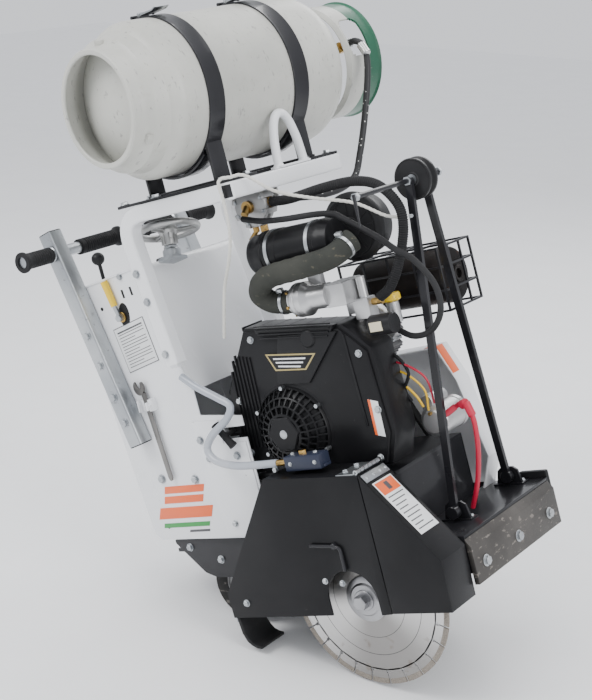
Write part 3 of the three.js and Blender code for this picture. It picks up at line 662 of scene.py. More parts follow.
# ---- Straps, saddles and buckles ----
# Two rolled steel bands with rubber lining hold the cylinder down on welded cradles; each closes with an over-centre buckle.
for index, (node, where, catch) in enumerate((("strap_near", -165, "near"), ("strap_far", 62, "far"))):
    band = Work()
    lip = [(RADIUS + 0.3, where - 20), (RADIUS + 2.4, where - 20), (RADIUS + 3.2, where - 18.6),
           (RADIUS + 2.8, where - 16),
           (RADIUS + 2.8, where + 16), (RADIUS + 3.2, where + 18.6), (RADIUS + 2.4, where + 20),
           (RADIUS + 0.3, where + 20)]
    band.turned(lip + lip[:1], sides=128)
    for x in (-30, -8):
        band.box((x - 8, x + 8), (where - 17, where + 17), (RADIUS + 1.5, RADIUS + 5), 1)
    band.rod((-14, where - 22, RADIUS + 6.5), (-14, where + 22, RADIUS + 6.5), 3.6)
    piece("band_" + catch, band, black_paint, replaces=(node,), place=TANK)
    buckle = Work()
    top = RADIUS + 4.1
    arm = [(6, top + 1.5), (14, top + 5), (50, top + 4), (60, top + 7), (62, top + 5.4), (51, top + 1.2),
           (16, top + 1), (8, top - 0.5)]
    for y in ((where - 19, where - 15.5), (where + 15.5, where + 19)):
        buckle.plate(arm, y, 0.5)
    buckle.plate([(10, top + 3), (50, top + 3), (61, top + 6.5), (61, top + 5.2), (50, top + 1.6),
                  (10, top + 1.4)], (where - 16, where + 16), 0.5)
    buckle.rod((8, where - 21, top + 4), (8, where + 21, top + 4), 3.4)
    piece("buckle_lever_" + catch, buckle, zinc, body="buckle_" + catch, replaces=("latch_" + catch,),
          place=TANK)
    fasten("strap_rivets_" + catch, "rivet",
           [((x, where + y, top - 0.2), (0, 0, 1), 4.4) for x in (-38, -30) for y in (-9, 9)], zinc,
           place=TANK)

# ---- Top frame ----
# White square tube bent over the console, a cross bar with a lifting bail, and the black tray plates under the cylinder.
paint = Finish("white_powder_coat", Coat_Weight=0.3, Coat_Roughness=0.1)
broad, peel, spots = paint.noise(3.2, 5), paint.noise(420, 2), paint.fade(paint.noise(64, 8, 0.66), 0.69,
        0.73)
smear = paint.fade(paint.noise(14, 7, 0.6, (1, 1, 0.45)), 0.56, 0.8)
tone = paint.blend(broad, rgb(0.8, 0.81, 0.83), rgb(0.88, 0.89, 0.9))
tone = paint.blend(smear * 0.28, tone, rgb(0.5, 0.49, 0.46))
white_paint = paint.wear(paint.blend(spots * 0.75, tone, rgb(0.2, 0.19, 0.18)), smear * 0.2 + 0.24, None,
                         peel, 0.00025, 0.5)
tubes = Work()
tube = soft_square(34, 5.5)
near_y, far_y = 21.7, 345
tubes.sweep(bent([(-351, near_y, 504), (-387, near_y, 817), (-106, near_y, 817)], 62, 12), tube)
tubes.sweep(bent([(-309, far_y, 99), (-326, far_y, 438), (-387, far_y, 817), (-106, far_y, 817)], 62, 12),
            tube)
tubes.sweep([(-89.5, near_y - 17, 817.5), (-89.5, far_y + 17, 817.5)], soft_square(33, 4.5))
tubes.box((-112, -104), (near_y - 18, near_y + 18), (799, 833.5), 2)
tubes.box((-366, -345), (near_y - 6, near_y + 18), (496, 560), 2)
tubes.slot = 1
tubes.box((-101, -78), (near_y - 17.8, near_y - 16), (805, 830), 1)
tubes.box((-396, -106), (20, 128), (834, 840), 1.5)
tubes.box((-352, -82), (268, 372), (834, 840), 1.5)
to_chassis = CHASSIS.inverted() @ TANK
for where in (-165, 62):
    for x in (-108, 108):
        leg = [(x - 3.5, -190.5), (x + 3.5, -190.5), (x + 3.5, -112), (x - 3.5, -112)]
        tubes.plate(leg, (where - 19.5, where + 19.5), 1, turn=to_chassis)
    cradle = [((RADIUS + 4.5) * math.sin(a), -(RADIUS + 4.5) * math.cos(a))
              for a in (math.radians(k) for k in range(-36, 37, 6))]
    tubes.plate(cradle + [(p * 1.02, q * 1.035) for p, q in cradle[::-1]], (where - 19.5, where + 19.5), 0.6,
                turn=to_chassis)
    tubes.box((-116, 116), (where - 20, where + 20), (-189, -184.6), 1, turn=to_chassis)
piece("top_frame_tubes", tubes, [white_paint, black_paint], replaces=("top_frame",))
hoop = Work()
hoop.sweep(smooth_line([(-88, 176, 838), (-88, 178, 862), (-88, 182, 890), (-88, 193, 922), (-88, 206, 937),
                        (-88, 218, 940.5),
                        (-88, 230, 937), (-88, 243, 922), (-88, 254, 890), (-88, 258, 862), (-88, 260, 838)],
                        60), circle(9, 20))
for y in (176, 260):
    hoop.turned([(0, 834.4), (14, 834.4), (12.5, 838), (9.4, 842), (0, 842)], (-88, y, 0), "z", 24)
hoop.box((-102, -74), (166, 266), (834.4, 839), 1.5)
piece("lifting_hoop", hoop, white_paint, replaces=("lifting_bail",))
fasten("tray_bolts", "bolt",
       [((x, y, 840), (0, 0, 1), 8) for x, y in ((-385, 32), (-385, 112), (-300, 36), (-120, 36), (-120, 112),
       (-335, 360), (-100, 360), (-100, 280))] + [((x, near_y - 17, z), (0, -1, 0), 7) for x,
               z in ((-358, 528), (-369, 640), (-378, 700))], zinc)

# ---- Handles ----
# Zinc plated square posts bolted to the console sides, each crossed by a steel bar with two moulded rubber grips.
soft_grip = plain_finish("soft_grip", rgb(0.01, 0.01, 0.011), rgb(0.022, 0.022, 0.023), 0.62, grain=1600,
                         depth=0.0004)
for side, y, out, bar, grips in (("near", 22.7, -1, (-80, 212), ((0, -82), (84, 214))),
                                 ("far", 413.3, 1, (294, 528), ((388, 292), (438, 530)))):
    post = Work()
    post.sweep([(-515, y, 345), (-612, y, 822)], soft_square(37, 4.5))
    post.rod((-604, bar[0] + 2, 778), (-604, bar[1] - 2, 778), 12.5, 32)
    for a in (y - 19, y + 19):
        post.turned([(12.4, a - 2.4), (16, a), (12.4, a + 2.4)], (-604, 0, 778), sides=32)
    post.slot = 1
    for end, sign in (((-515, y, 345), -1), ((-612, y, 822), 1)):
        run = Vector((-97, 0, 477)).normalized() * sign
        post.sweep([Vector(end) - run * 1, Vector(end) + run * 1.2, Vector(end) + run * 2.4],
                   lambda t: soft_square((36.5, 36, 32)[round(t * 2)], 4))
    for plain, flare in grips:
        way = 1 if flare > plain else -1
        length = abs(flare - plain)
        shape = [(12.4, 0), (15.5, 0), (17, 2), (17, 8)]
        for k in range(12, int(length) - 26, 6):
            shape += [(17, k), (16.1, k + 1), (16.1, k + 3), (17, k + 4)]
        shape += [(17, length - 20), (18.4, length - 12), (22, length - 6), (22, length - 1.5),
                  (20.5, length), (12.4, length)]
        post.turned([(r, plain + way * d) for r, d in shape], (-604, 0, 778), sides=40)
    piece("handle_" + side + "_post", post, [zinc, soft_grip], replaces=("handle_" + side,))
    face = y + out * 18.6
    fasten("post_bolts_" + side, "bolt",
           [((-612 + 97 * t, face, 822 - 477 * t), (0, out, 0), 8) for t in (0.48, 0.62, 0.77, 0.89)], zinc)

# ---- Console ----
# Folded steel sheets painted white: a near and a far side, and one sheet bent over the front, top and back.
# The near side carries a bolted lower plate, an instruction plate, a plain coloured marking and the wrench in its block.
side_line = [(-620, 690), (-566, 135), (-550, 122), (-235, 116), (-235, 330), (-291, 330), (-291, 354),
             (-235, 354), (-235, 376),
             (-345, 386), (-345, 440), (-425, 712)]
near = Work()
near.plate(side_line, (42, 45), 0.8)
near.plate([(-372, 375), (-300, 372), (-300, 322), (-240, 322), (-240, 125), (-352, 121)], (39.2, 41.8), 0.8)
near.plate([(-424, 711), (-346, 442), (-349, 441), (-427, 710)], (40, 52), 0.8)
near.plate([(-618, 690), (-426, 711.5), (-426, 708), (-617.5, 686.5)], (40, 48), 0.8)
near.box((-500, -496.2), (27, 43), (410, 436), 1.2)
near.box((-467.8, -456), (27, 43), (410, 436), 1.2)
near.box((-497, -466), (38, 43), (410, 436), 1.2)
near.rod((-462, 27.5, 423), (-462, 19, 423), 4.5, 16)
near.box((-464, -460), (14, 20), (414, 432), 1.2)
near.slot = 1
oval = [(-480 + 15 * math.cos(a), 619 + 26 * math.sin(a) + 4 * math.cos(a))
        for a in (k * math.tau / 32 for k in range(32))]
near.plate(oval, (41.6, 42.6), 0)
for x, z in ((-467, 663), (-442, 666)):
    near.plate([(x - 3, z - 9), (x + 3, z - 9), (x + 1, z + 9), (x - 5, z + 9)], (41.7, 42.5), 0)
for x, z in ((-540, 640), (-598, 660), (-330, 160), (-520, 150)):
    near.turned([(0, 41.7), (4, 41.7), (4, 42.5), (0, 42.5)], (x, 0, z), sides=20)
piece("console_near_side", near, [white_paint, moulded_black], replaces=("side_panel_near",))
fasten("side_bolts", "bolt",
       [((x, y, z), (0, -1, 0), r) for x, y, z,
        r in ((-360, 39.2, 334, 7), (-501, 42, 258, 8), (-406, 42, 251, 8),
       (-325, 39.2, 150, 6), (-271, 39.2, 294, 7), (-349, 39.2, 293, 6), (-464, 42, 700, 6),
        (-552, 42, 560, 7), (-585, 42, 500, 7))], zinc)

cover = Work()
fold = [(-347, 438), (-426, 709.5), (-617, 688), (-563.5, 136)]
skin_line = bent([(x, 0, z) for x, z in fold], 14, 5)
inner = []
for i, p in enumerate(skin_line):
    a, b = skin_line[max(0, i - 1)], skin_line[min(len(skin_line) - 1, i + 1)]
    run = (b - a).normalized()
    inner.append((p.x + run.z * -2.8, p.z + run.x * 2.8))
outer = [(p.x, p.z) for p in skin_line]
cover.plate(outer + inner[::-1], (45.4, 390.6), 0.6)
cover.slot = 1


def top_z(x):
    return 688 + (x + 617) * 0.1126


cover.turned([(0, 0), (27, 0), (29, 3), (27, 7), (0, 7)], (-500, 240, top_z(-500)), "z", 40)
cover.box((-585, -545), (300, 360), (top_z(-565) - 1, top_z(-565) + 2), 1)
cover.slot = 2
cover.turned([(0, 7), (23, 7), (23, 8), (0, 8)], (-500, 240, top_z(-500)), "z", 40)
cover.slot = 1
for k in range(10):
    a = math.radians(-120 + k * 27)
    cover.box((15, 21), (-0.7, 0.7), (8, 8.5), 0,
              turn=Matrix.Translation((-500, 240, top_z(-500))) @ Matrix.Rotation(a, 4, "Z"))
piece("console_sheet", cover, [white_paint, moulded_black, zinc], replaces=("console_cover",))
far = Work()
far.plate([(x, z) for x, z in side_line[:4]] + [(-235, 376)] + side_line[9:], (391, 394), 0.8)
far.slot = 1
for k in range(7):
    far.box((-520, -420), (393.4, 394.3), (220 + 16 * k, 226 + 16 * k), 0.5)
piece("console_far_side", far, [white_paint, moulded_black], replaces=("side_panel_far",))

plate_white = plain_finish("label_white", rgb(0.82, 0.83, 0.83), rgb(0.78, 0.79, 0.79), 0.3, coat=0.3,
                           grain=300, depth=0.0001)
ink = plain_finish("label_ink", rgb(0.06, 0.06, 0.065), rgb(0.09, 0.09, 0.095), 0.4, grain=300)
orange = plain_finish("orange_mark", rgb(0.86, 0.13, 0.018), rgb(0.8, 0.11, 0.015), 0.32, coat=0.3, grain=300)
green = plain_finish("green_mark", rgb(0.02, 0.3, 0.05), rgb(0.02, 0.26, 0.045), 0.35, coat=0.3, grain=300)
marks = Work()


def corner_plate(work, corners, y, inset=0.0):
    middle = Vector((sum(c[0] for c in corners) / len(corners), sum(c[1] for c in corners) / len(corners)))
    work.plate([tuple(middle + (Vector(c) - middle) * (1 - inset)) for c in corners], y, 0.15)


label = [(-524, 592), (-430, 610), (-416, 513), (-509, 495)]
marks.slot = 1
corner_plate(marks, label, (41.3, 41.9))
marks.slot = 0
corner_plate(marks, label, (40.9, 41.35), 0.035)
marks.slot = 1
a, b, d = (Vector((c[0], 0, c[1])) for c in (label[0], label[1], label[3]))
for row in range(13):
    p = a + (d - a) * (0.1 + row * 0.066) + (b - a) * 0.09
    q = p + (b - a) * (0.82 if row % 4 != 3 else 0.5)
    rise = (d - a) * (0.034 if row == 0 else 0.016)
    marks.plate([(p.x, p.z), (q.x, q.z), (q.x + rise.x, q.z + rise.z), (p.x + rise.x, p.z + rise.z)],
                (40.7, 40.95), 0)
marks.slot = 2
marks.plate([(-500, 240), (-385, 240), (-392, 224), (-506, 224)], (41.3, 41.9), 0.15)
marks.plate([(-508, 218), (-394, 218), (-401, 202), (-514, 202)], (41.3, 41.9), 0.15)
marks.plate([(-530, 193), (-376, 193), (-388, 168), (-542, 168)], (41.3, 41.9), 0.15)
marks.slot = 3
marks.plate([(-530, 158), (-396, 158), (-401, 148), (-534, 148)], (41.3, 41.9), 0.15)
marks.slot = 1
marks.plate([(-460, 141), (-402, 141), (-404, 136), (-462, 136)], (41.3, 41.9), 0.15)
piece("side_marks", marks, [plate_white, ink, orange, green])

tool = Work()
shank = [(-484.5, 452), (-472.5, 450), (-460.5, 262), (-462, 256), (-466, 254), (-470, 256), (-471.8, 262)]
tool.plate(shank, (31.5, 35.8), 1.1)
jaw = [(14.5 * math.cos(a), 17 * math.sin(a)) for a in (math.radians(k) for k in range(128, 412, 12))]
tool.plate([(-487 + p, 463 + q) for p, q in jaw] + [(-480.5, 474), (-481, 464), (-484, 461), (-489, 461.5),
        (-492, 465), (-494, 474)], (30.6, 36.4), 1.2)
tool_steel = plain_finish("tool_steel", rgb(0.24, 0.23, 0.22), rgb(0.13, 0.125, 0.12), 0.36, metallic=0.9,
                          grain=700, scuff=rgb(0.1, 0.07, 0.05))
piece("open_wrench", tool, tool_steel, body="spanner", replaces=("wrench",))

yellow_vinyl = plain_finish("yellow_vinyl", rgb(0.86, 0.58, 0.01), rgb(0.78, 0.5, 0.008), 0.38, coat=0.35,
                            grain=500)
lever = Work()
lever.sweep(smooth_line([(-493, 33, 642), (-498, 33, 668), (-504, 33, 697)], 12),
            lambda t: [(a * (1 + 0.18 * t), b * (1 + 0.1 * t)) for a, b in soft_square(13, 5)])
lever.slot = 1
lever.sweep([(-485, 33, 612), (-489, 33, 628), (-494, 33, 646)], soft_square(8, 2))
lever.rod((-486, 41, 616), (-486, 26, 616), 8, 6)
lever.slot = 2
lever.rod((-486, 41.4, 616), (-486, 37, 616), 11, 24)
piece("water_valve_lever", lever, [yellow_vinyl, zinc, brass], body="water_valve", replaces=("water_lever",))
pull = Work()
pull.rod((-530, 60, 700), (-530, 60, 736), 4, 16)
pull.turned([(0, -13), (6, -13), (7, -11.5)]
            + [(14 * math.cos(a), 14 * math.sin(a)) for a in (math.radians(k) for k in range(-50, 90, 10))]
            + [(0, 14)],
            (-530, 60, 745), "z", 32)
piece("throttle_pull", pull, moulded_black, body="throttle", replaces=("throttle_knob",))
turn_key = Work()
turn_key.turned([(0, 697.4), (11, 697.4), (11, 700), (8.6, 703), (8.6, 706), (0, 706)], (-560, 220, 0), "z",
                32)
turn_key.box((-561.5, -558.5), (212, 228), (706, 722), 1.2)
turn_key.box((-562.4, -557.6), (209, 231), (712, 721.5), 1.6)
piece("ignition_switch", turn_key, [zinc], body="key", replaces=("ignition_key",))

# ---- Depth handwheel ----
# A cast aluminium wheel with three spokes, a ribbed hub and a spinner knob, on the screw that lowers the blade.
cast = plain_finish("cast_aluminium", rgb(0.5, 0.5, 0.49), rgb(0.36, 0.36, 0.355), 0.42, metallic=0.9,
                    grain=420, depth=0.0009,
                    scuff=rgb(0.2, 0.2, 0.19), amount=0.62)
HANDWHEEL = CHASSIS @ Matrix.Translation((-372, 122, 768)) @ Matrix.Rotation(math.radians(-8), 4,
        "Y") @ Matrix.Rotation(math.radians(-15), 4, "X")
wheel = Work()
wheel.turned([(62 + 7.6 * math.cos(a), 7.6 * math.sin(a)) for a in (k * math.tau / 16 for k in range(17))],
             axis="z", sides=80)
for k in (40, 160, 280):
    spoke = Matrix.Rotation(math.radians(k), 4, "Z")
    wheel.box((14, 59), (-6.5, 6.5), (-5, 0.5), 1.6, turn=spoke)
    wheel.box((14, 58), (-1.8, 1.8), (-9, -3), 1.2, turn=spoke)
wheel.turned([(0, -33.5), (13, -33.5), (14, -32), (14, -14), (19, -6), (21.5, -3), (21.5, 4), (19, 6),
              (0, 6)], axis="z", sides=40)
for k in range(8):
    wheel.box((13, 17.5), (-1.3, 1.3), (-31, -7), 0.8, turn=Matrix.Rotation(k * math.tau / 8, 4, "Z"))
wheel.slot = 1
wheel.turned([(0, 5), (7, 5), (7, 9), (6, 10), (0, 10)], axis="z", sides=6)
wheel.turned([(0, 7), (7, 7), (9, 12), (9.6, 22), (8.6, 31), (5, 34), (0, 34.6)], (-58, -24, 0), axis="z",
             sides=32)
piece("depth_wheel", wheel, [cast, moulded_black], body="handwheel", replaces=("depth_handwheel",),
      place=HANDWHEEL)
boss = Work()
boss.turned([(0, -62), (19, -62), (19, -44), (15, -40), (15, -36), (0, -36)], axis="z", sides=32)
boss.box((-22, 22), (-22, 22), (-66, -58), 2)
piece("depth_screw_boss", boss, zinc, place=HANDWHEEL)

# ---- Gas regulator ----
# A die-cast two-chamber converter hung under the top frame, with brass elbows for gas in, gas out and vacuum.
unit = Work()
unit.turned([(0, 128), (31, 128), (34, 130), (39, 132), (40, 134), (40, 141), (36, 143), (36, 151), (40, 153),
             (40, 160), (36, 164), (30, 173),
             (14, 177.5), (0, 177.5)], (-150, 0, 775), sides=56)
unit.box((-168, -132), (134, 172), (733, 745), 3)
for k in range(8):
    a = math.tau * (k + 0.5) / 8
    unit.box((-6, 6), (129, 165), (36, 44), 2,
             turn=Matrix.Translation((-150, 0, 775)) @ Matrix.Rotation(a, 4, "Y"))
unit.box((-190, -110), (178.5, 183), (772, 800), 1.4)
unit.slot = 1
unit.turned([(0, 119), (8, 119), (8, 120), (13, 120), (13, 128.5), (0, 128.5)], (-150, 0, 775), sides=28)
unit.rod((-150, 124, 775), (-150, 108, 762), 7.6, 20)
unit.rod((-142, 150, 736), (-142, 150, 718), 9, 6)
unit.rod((-142, 150, 719), (-142, 150, 700), 6, 18)
unit.rod((-160, 146, 736), (-160, 146, 722), 7, 6)
unit.rod((-160, 146, 725), (-176, 140, 708), 5, 18)
unit.rod((-111, 150, 775), (-108, 150, 775), 11.5, 6)
piece("gas_converter", unit, [cast, brass], replaces=("gas_regulator",))
fasten("converter_screws", "bolt",
       [((-150 + 35 * math.sin(math.tau * (k + 0.5) / 8), 129, 775 + 35 * math.cos(math.tau * (k + 0.5) / 8)),
         (0, -1, 0), 3.2)
       for k in range(8)], zinc)


def rim(work, points, y, wall, bevel=0.8):
    """A sheet bent along an open outline, its thickness laid to the right of the way it runs."""
    p = [Vector(q) for q in points]
    inside = []
    for i, q in enumerate(p):
        runs = [(b - a).normalized() for a, b in ((p[max(i - 1, 0)], q), (q, p[min(i + 1, len(p) - 1)]))
                if (b - a).length > 0]
        side = sum((Vector((r.y, -r.x)) for r in runs), Vector((0, 0))) / len(runs)
        inside.append(tuple(q + side * wall / max(side.length_squared, 0.2)))
    work.plate(list(points) + inside[::-1], y, bevel)


# ---- Engine ----
# An air-cooled V-twin: die-cast crankcase with finned barrels, a moulded blower shroud in front of it, the recoil
# starter with its slotted cover, and pressed valve covers. Everything is bolted to the cradle through the crankcase.
crank = (-128, 0, 330)
casting = plain_finish("engine_casting", rgb(0.2, 0.2, 0.2), rgb(0.12, 0.12, 0.125), 0.5, metallic=0.8,
                       grain=380, depth=0.001,
                       scuff=rgb(0.05, 0.045, 0.04), amount=0.6)
bright = plain_finish("bright_casting", rgb(0.6, 0.6, 0.6), rgb(0.46, 0.46, 0.46), 0.36, metallic=0.9,
                      grain=420, depth=0.0006,
                      scuff=rgb(0.28, 0.27, 0.26))
shroud = plain_finish("shroud_plastic", rgb(0.008, 0.008, 0.009), rgb(0.014, 0.014, 0.015), 0.38, coat=0.08,
                      grain=1100, depth=0.0003,
                      scuff=rgb(0.08, 0.075, 0.07), amount=0.68)
block = Work()
block.plate([(-225, 224.3), (-30, 224.3), (-20, 330), (-70, 420), (-185, 420), (-235, 330)], (152, 300), 6)
for k in range(6):
    block.box((-232, -22), (172 + k * 21, 176 + k * 21), (228, 300), 1.4)
for tilt, y, top in ((50, (151, 186), 248), (-50, (200, 290), 168)):
    lean = Matrix.Translation(crank) @ Matrix.Rotation(math.radians(tilt), 4, "Y")
    block.box((-38, 38), (y[0] + 3, y[1] - 3), (84, top), 3, turn=lean)
    for k in range(int((top - 104) / 8)):
        block.box((-52, 52), y, (104 + 8 * k, 107 + 8 * k), 0.9, turn=lean)
    block.box((-50, 50), (y[0], y[1]), (top - 8, top), 2, turn=lean)
left = Matrix.Translation(crank) @ Matrix.Rotation(math.radians(-50), 4, "Y")
block.slot = 1
block.box((-42, 42), (206, 284), (169, 190), 8, turn=left)
block.box((-36, 36), (212, 278), (188, 196), 5, turn=left)
piece("engine_crankcase", block, [casting, bright], replaces=("engine_block",))

housing = Work()
line = [(-200, 545), (42, 522), (96, 470), (104, 300), (80, 238), (-232, 232), (-288, 300), (-282, 420)]
housing.plate(line, (74, 150), 7)
middle = Vector((-100, 380))
housing.plate([tuple(middle + (Vector(p) - middle) * 0.955) for p in line], (67, 76), 4)
housing.plate([(-108, 521), (36, 512), (-60, 418), (-140, 424)], (61.5, 68), 2.6)
housing.plate([(-166, 543), (30, 524), (22, 512), (-160, 530)], (62, 80), 2.2)
housing.plate([(44, 506), (48, 503), (52, 320), (47, 320)], (64.5, 70), 0.9)
for k in range(1, 8):
    rib, top = -262 + 9 * k, 500 - 2 * k if k > 2 else 440 + 22 * k
    housing.plate([(rib, top), (rib + 4, top), (rib - 4, 300), (rib - 8, 300)], (64.5, 70), 0.9)
for k in range(7):
    housing.box((-210 + k * 38, -206 + k * 38), (82, 146), (540 - k * 3.6 - 3, 546 - k * 3.6), 1)
housing.box((-296, -262), (60, 72), (330, 354), 3)
housing.box((-284, -60), (60, 74), (234, 246), 3)
housing.turned([(0, 58), (15, 58), (18, 61), (18, 68), (0, 68)], (-36, 0, 506), sides=28)
housing.turned([(88, 66), (92, 66), (98, 70), (98, 76), (88, 76)], (crank[0], 0, crank[2]), sides=72)
housing.slot = 1
housing.plate([(-150, 488), (-26, 476), (-58, 446), (-134, 452)], (61.1, 61.7), 0.1)
housing.slot = 0
housing.plate([(-145, 484.5), (-33, 473.5), (-60, 449), (-131, 455)], (60.9, 61.3), 0.1)
housing.slot = 2
for k in range(3):
    housing.plate([(-132 + 4 * k, 478 - 8 * k), (-52 - 8 * k, 470.5 - 7.4 * k),
                   (-54 - 8 * k, 467.5 - 7.4 * k), (-132 + 4 * k, 475 - 8 * k)], (60.6, 60.95), 0)
gold = plain_finish("pale_gold", rgb(0.5, 0.42, 0.2), rgb(0.42, 0.34, 0.15), 0.4, metallic=0.6, grain=500)
housing.plate([(64, 372), (86, 366), (84, 296), (62, 302)], (66.2, 67.4), 0.2)
housing.slot = 3
housing.plate([(64, 372), (70, 370.4), (68, 300.4), (62, 302)], (65.9, 66.3), 0.1)
housing.slot = 0
for k in range(4):
    housing.box((-160 + 3 * k, 26 - 3 * k), (58.8, 62.4), (536 - 8 * k, 539 - 8 * k), 0.8,
                turn=Matrix.Translation((-70, 0, 536)) @ Matrix.Rotation(math.radians(5.2), 4,
                        "Y") @ Matrix.Translation((70, 0, -536)))
piece("blower_shroud", housing, [shroud, gold, plate_white, orange], replaces=("blower_housing",))
fasten("shroud_bolts", "bolt",
       [((x, 67, z), (0, -1, 0), 6) for x,
        z in ((-252, 400), (-255, 290), (-205, 250), (60, 256), (82, 350), (70, 462), (-182, 520))], zinc)

recoil = Work()


def height(r):
    """How far the starter cover stands out at a radius."""
    if r < 56:
        return 36 - 5 * (r - 34) / 22
    return 31 - 17 * (r - 56) / 24 if r < 80 else 14 - 14 * (r - 80) / 8


recoil.turned([(0, 65.7 - 27), (50, 65.7 - 25), (74, 65.7 - 9), (80, 65.6), (0, 65.6)], crank, sides=64)
for a, b in ((84.5, 88), (69, 71.5), (54, 57), (36, 41)):
    recoil.turned([(a, 65.7 - height(a)), (b, 65.7 - height(b)), (b, 66.5 - max(height(b) - 5, 0)),
                   (a, 66.5 - max(height(a) - 5, 0))], crank, sides=72)
for a, b, count in ((70.5, 85.5, 34), (56, 70, 28), (40, 55, 22)):
    for k in range(count):
        turn = Matrix.Translation((crank[0], 65.7, crank[2])) @ Matrix.Rotation(k * math.tau / count, 4,
                "Y") @ Matrix.Rotation(math.pi / 2, 4, "X")
        recoil.plate([(a, height(a)), (b, height(b)), (b, max(height(b) - 6, -0.5)), (a, height(a) - 6)],
                     (-1.9, 1.9), 0.5, turn=turn)
recoil.turned([(0, 65.7 - 38), (36, 65.7 - 38), (39, 65.7 - 36), (39, 65.7 - 28), (0, 65.7 - 28)], crank,
              sides=6)
recoil.slot = 1
recoil.turned([(0, 65.7 - 38.6), (8, 65.7 - 38.6), (9, 65.7 - 38), (0, 65.7 - 38)], crank, sides=24)
for k in range(6):
    a = k * math.tau / 6
    recoil.turned([(0, 65.7 - 12), (4.5, 65.7 - 12), (4.5, 65.7), (0, 65.7)],
                  (crank[0] + 87 * math.sin(a), 0, crank[2] + 87 * math.cos(a)), sides=6)
piece("recoil_starter_cover", recoil, [shroud, zinc], replaces=("recoil_cover",))
grip = Work()
grip.sweep(smooth_line([(-296, 26, 366), (-279, 24, 342), (-262, 26, 318)], 16),
           lambda t: circle(9.2 - 2.2 * math.sin(math.pi * t) + 0.25 * math.cos(60 * t), 20))
grip.rod((-279, 24, 342), (-279, 59, 342), 5, 16)
piece("recoil_handle", grip, soft_grip, body="starter_grip", replaces=("recoil_grip",))

right = Matrix.Translation(crank) @ Matrix.Rotation(math.radians(50), 4, "Y")
tappet = Work()
tappet.box((-42, 42), (153, 184), (250.3, 254), 1, turn=right)
tappet.box((-38, 38), (155, 182), (253, 278), 6, turn=right)
tappet.box((-30, 30), (158, 179), (276, 284), 3, turn=right)
for k in range(4):
    tappet.box((-30 + 17 * k, -26 + 17 * k), (153.5, 158), (256, 276), 1, turn=right)
tappet.turned([(9, 494), (13, 494), (13, 534), (11, 536), (9, 536)], (100, 172, 0), "z", 28)
piece("right_valve_cover", tappet, bright, replaces=("valve_cover_right",))
fasten("valve_cover_bolts", "bolt",
       [(tuple(right @ Vector((x, y, 254))), tuple(right.to_3x3() @ Vector((0, 0, 1))), 4) for x in (-39, 39)
        for y in (157, 180)], zinc)
cap = Work()
cap.turned([(0, 536.6), (17, 536.6), (19, 539), (19, 548), (17, 551), (0, 551)], (100, 172, 0), "z", 32)
cap.box((-14, 14), (-3, 3), (548, 551), 1,
        turn=Matrix.Translation((100, 172, 0)) @ Matrix.Rotation(0.6, 4, "Z"))
for k in range(16):
    cap.box((17.4, 19), (-1.3, 1.3), (538.6, 548.6), 0.4,
            turn=Matrix.Translation((100, 172, 0)) @ Matrix.Rotation(k * math.tau / 16, 4, "Z"))
piece("oil_filler_cap", cap, yellow_vinyl, body="filler_cap", replaces=("oil_cap",))

start = Work()
start.turned([(0, 158), (22, 158), (24, 162), (30, 164), (32, 167), (32, 184), (30.6, 185), (30.6, 232),
              (32, 233), (32, 243), (26, 248), (0, 248)], (134, 0, 292), sides=48)
start.turned([(0, 170), (13, 170), (14, 172), (14, 228), (12, 231), (0, 231)], (122, 0, 330), sides=32)
start.box((106, 140), (176, 206), (306, 326), 3)
start.slot = 1
start.rod((134, 158.5, 310), (134, 152, 310), 4, 6)
start.slot = 2
start.rod((150, 158, 296), (176, 184, 312), 6.5, 20)
piece("electric_starter", start, [bright, brass, red_cable_finish], replaces=("starter_motor",))
yellow_wire = plain_finish("yellow_wire", rgb(0.8, 0.5, 0.02), rgb(0.7, 0.42, 0.02), 0.5, grain=600)
harness = Work()
harness.sweep(smooth_line([(60, 150, 400), (95, 146, 378), (118, 148, 350), (126, 152, 326)], 24),
              circle(2.6, 10))
harness.sweep(smooth_line([(66, 150, 410), (110, 144, 396), (140, 148, 360), (136, 152, 318)], 24),
              circle(2.2, 10))
harness.slot = 1
harness.sweep(smooth_line([(50, 152, 420), (104, 140, 420), (150, 146, 384), (150, 156, 330)], 24),
              circle(2.2, 10))
harness.rod((190, 183, 314), (206, 179, 319), 9, 20, 2)
harness.rod((204, 179, 320), (214, 176, 292), 8, 20, 2)
harness.slot = 2
harness.sweep(smooth_line([(40, 152, 430), (92, 140, 440), (118, 142, 400), (98, 146, 366), (104, 150, 340)],
                          30), circle(3.4, 12))
piece("engine_harness", harness, [yellow_wire, red_cable_finish, black_rubber])

water = Work()
water.box((-99, -11), (-27, 7), (269, 299), 4)
water.box((-104, -6), (-20, 0), (272, 277), 1.4)
water.slot = 1
water.rod((-98, -10, 284), (-108, -10, 284), 9, 6)
water.rod((-107, -10, 284), (-129, -10, 284), 6.6, 20)
water.rod((-60, -10, 298), (-60, -10, 306), 8, 6)
manifold_blue = plain_finish("manifold_blue", rgb(0.02, 0.026, 0.05), rgb(0.03, 0.035, 0.055), 0.34, coat=0.3,
                             grain=500)
piece("water_manifold_block", water, [manifold_blue, brass], replaces=("water_manifold",))
fasten("manifold_screws", "bolt",
       [((-86, -10, 299), (0, 0, 1), 4), ((-30, -10, 299), (0, 0, 1), 4), ((-84, -27, 284), (0, -1, 0), 3.4),
        ((-24, -27, 284), (0, -1, 0), 3.4)], zinc)

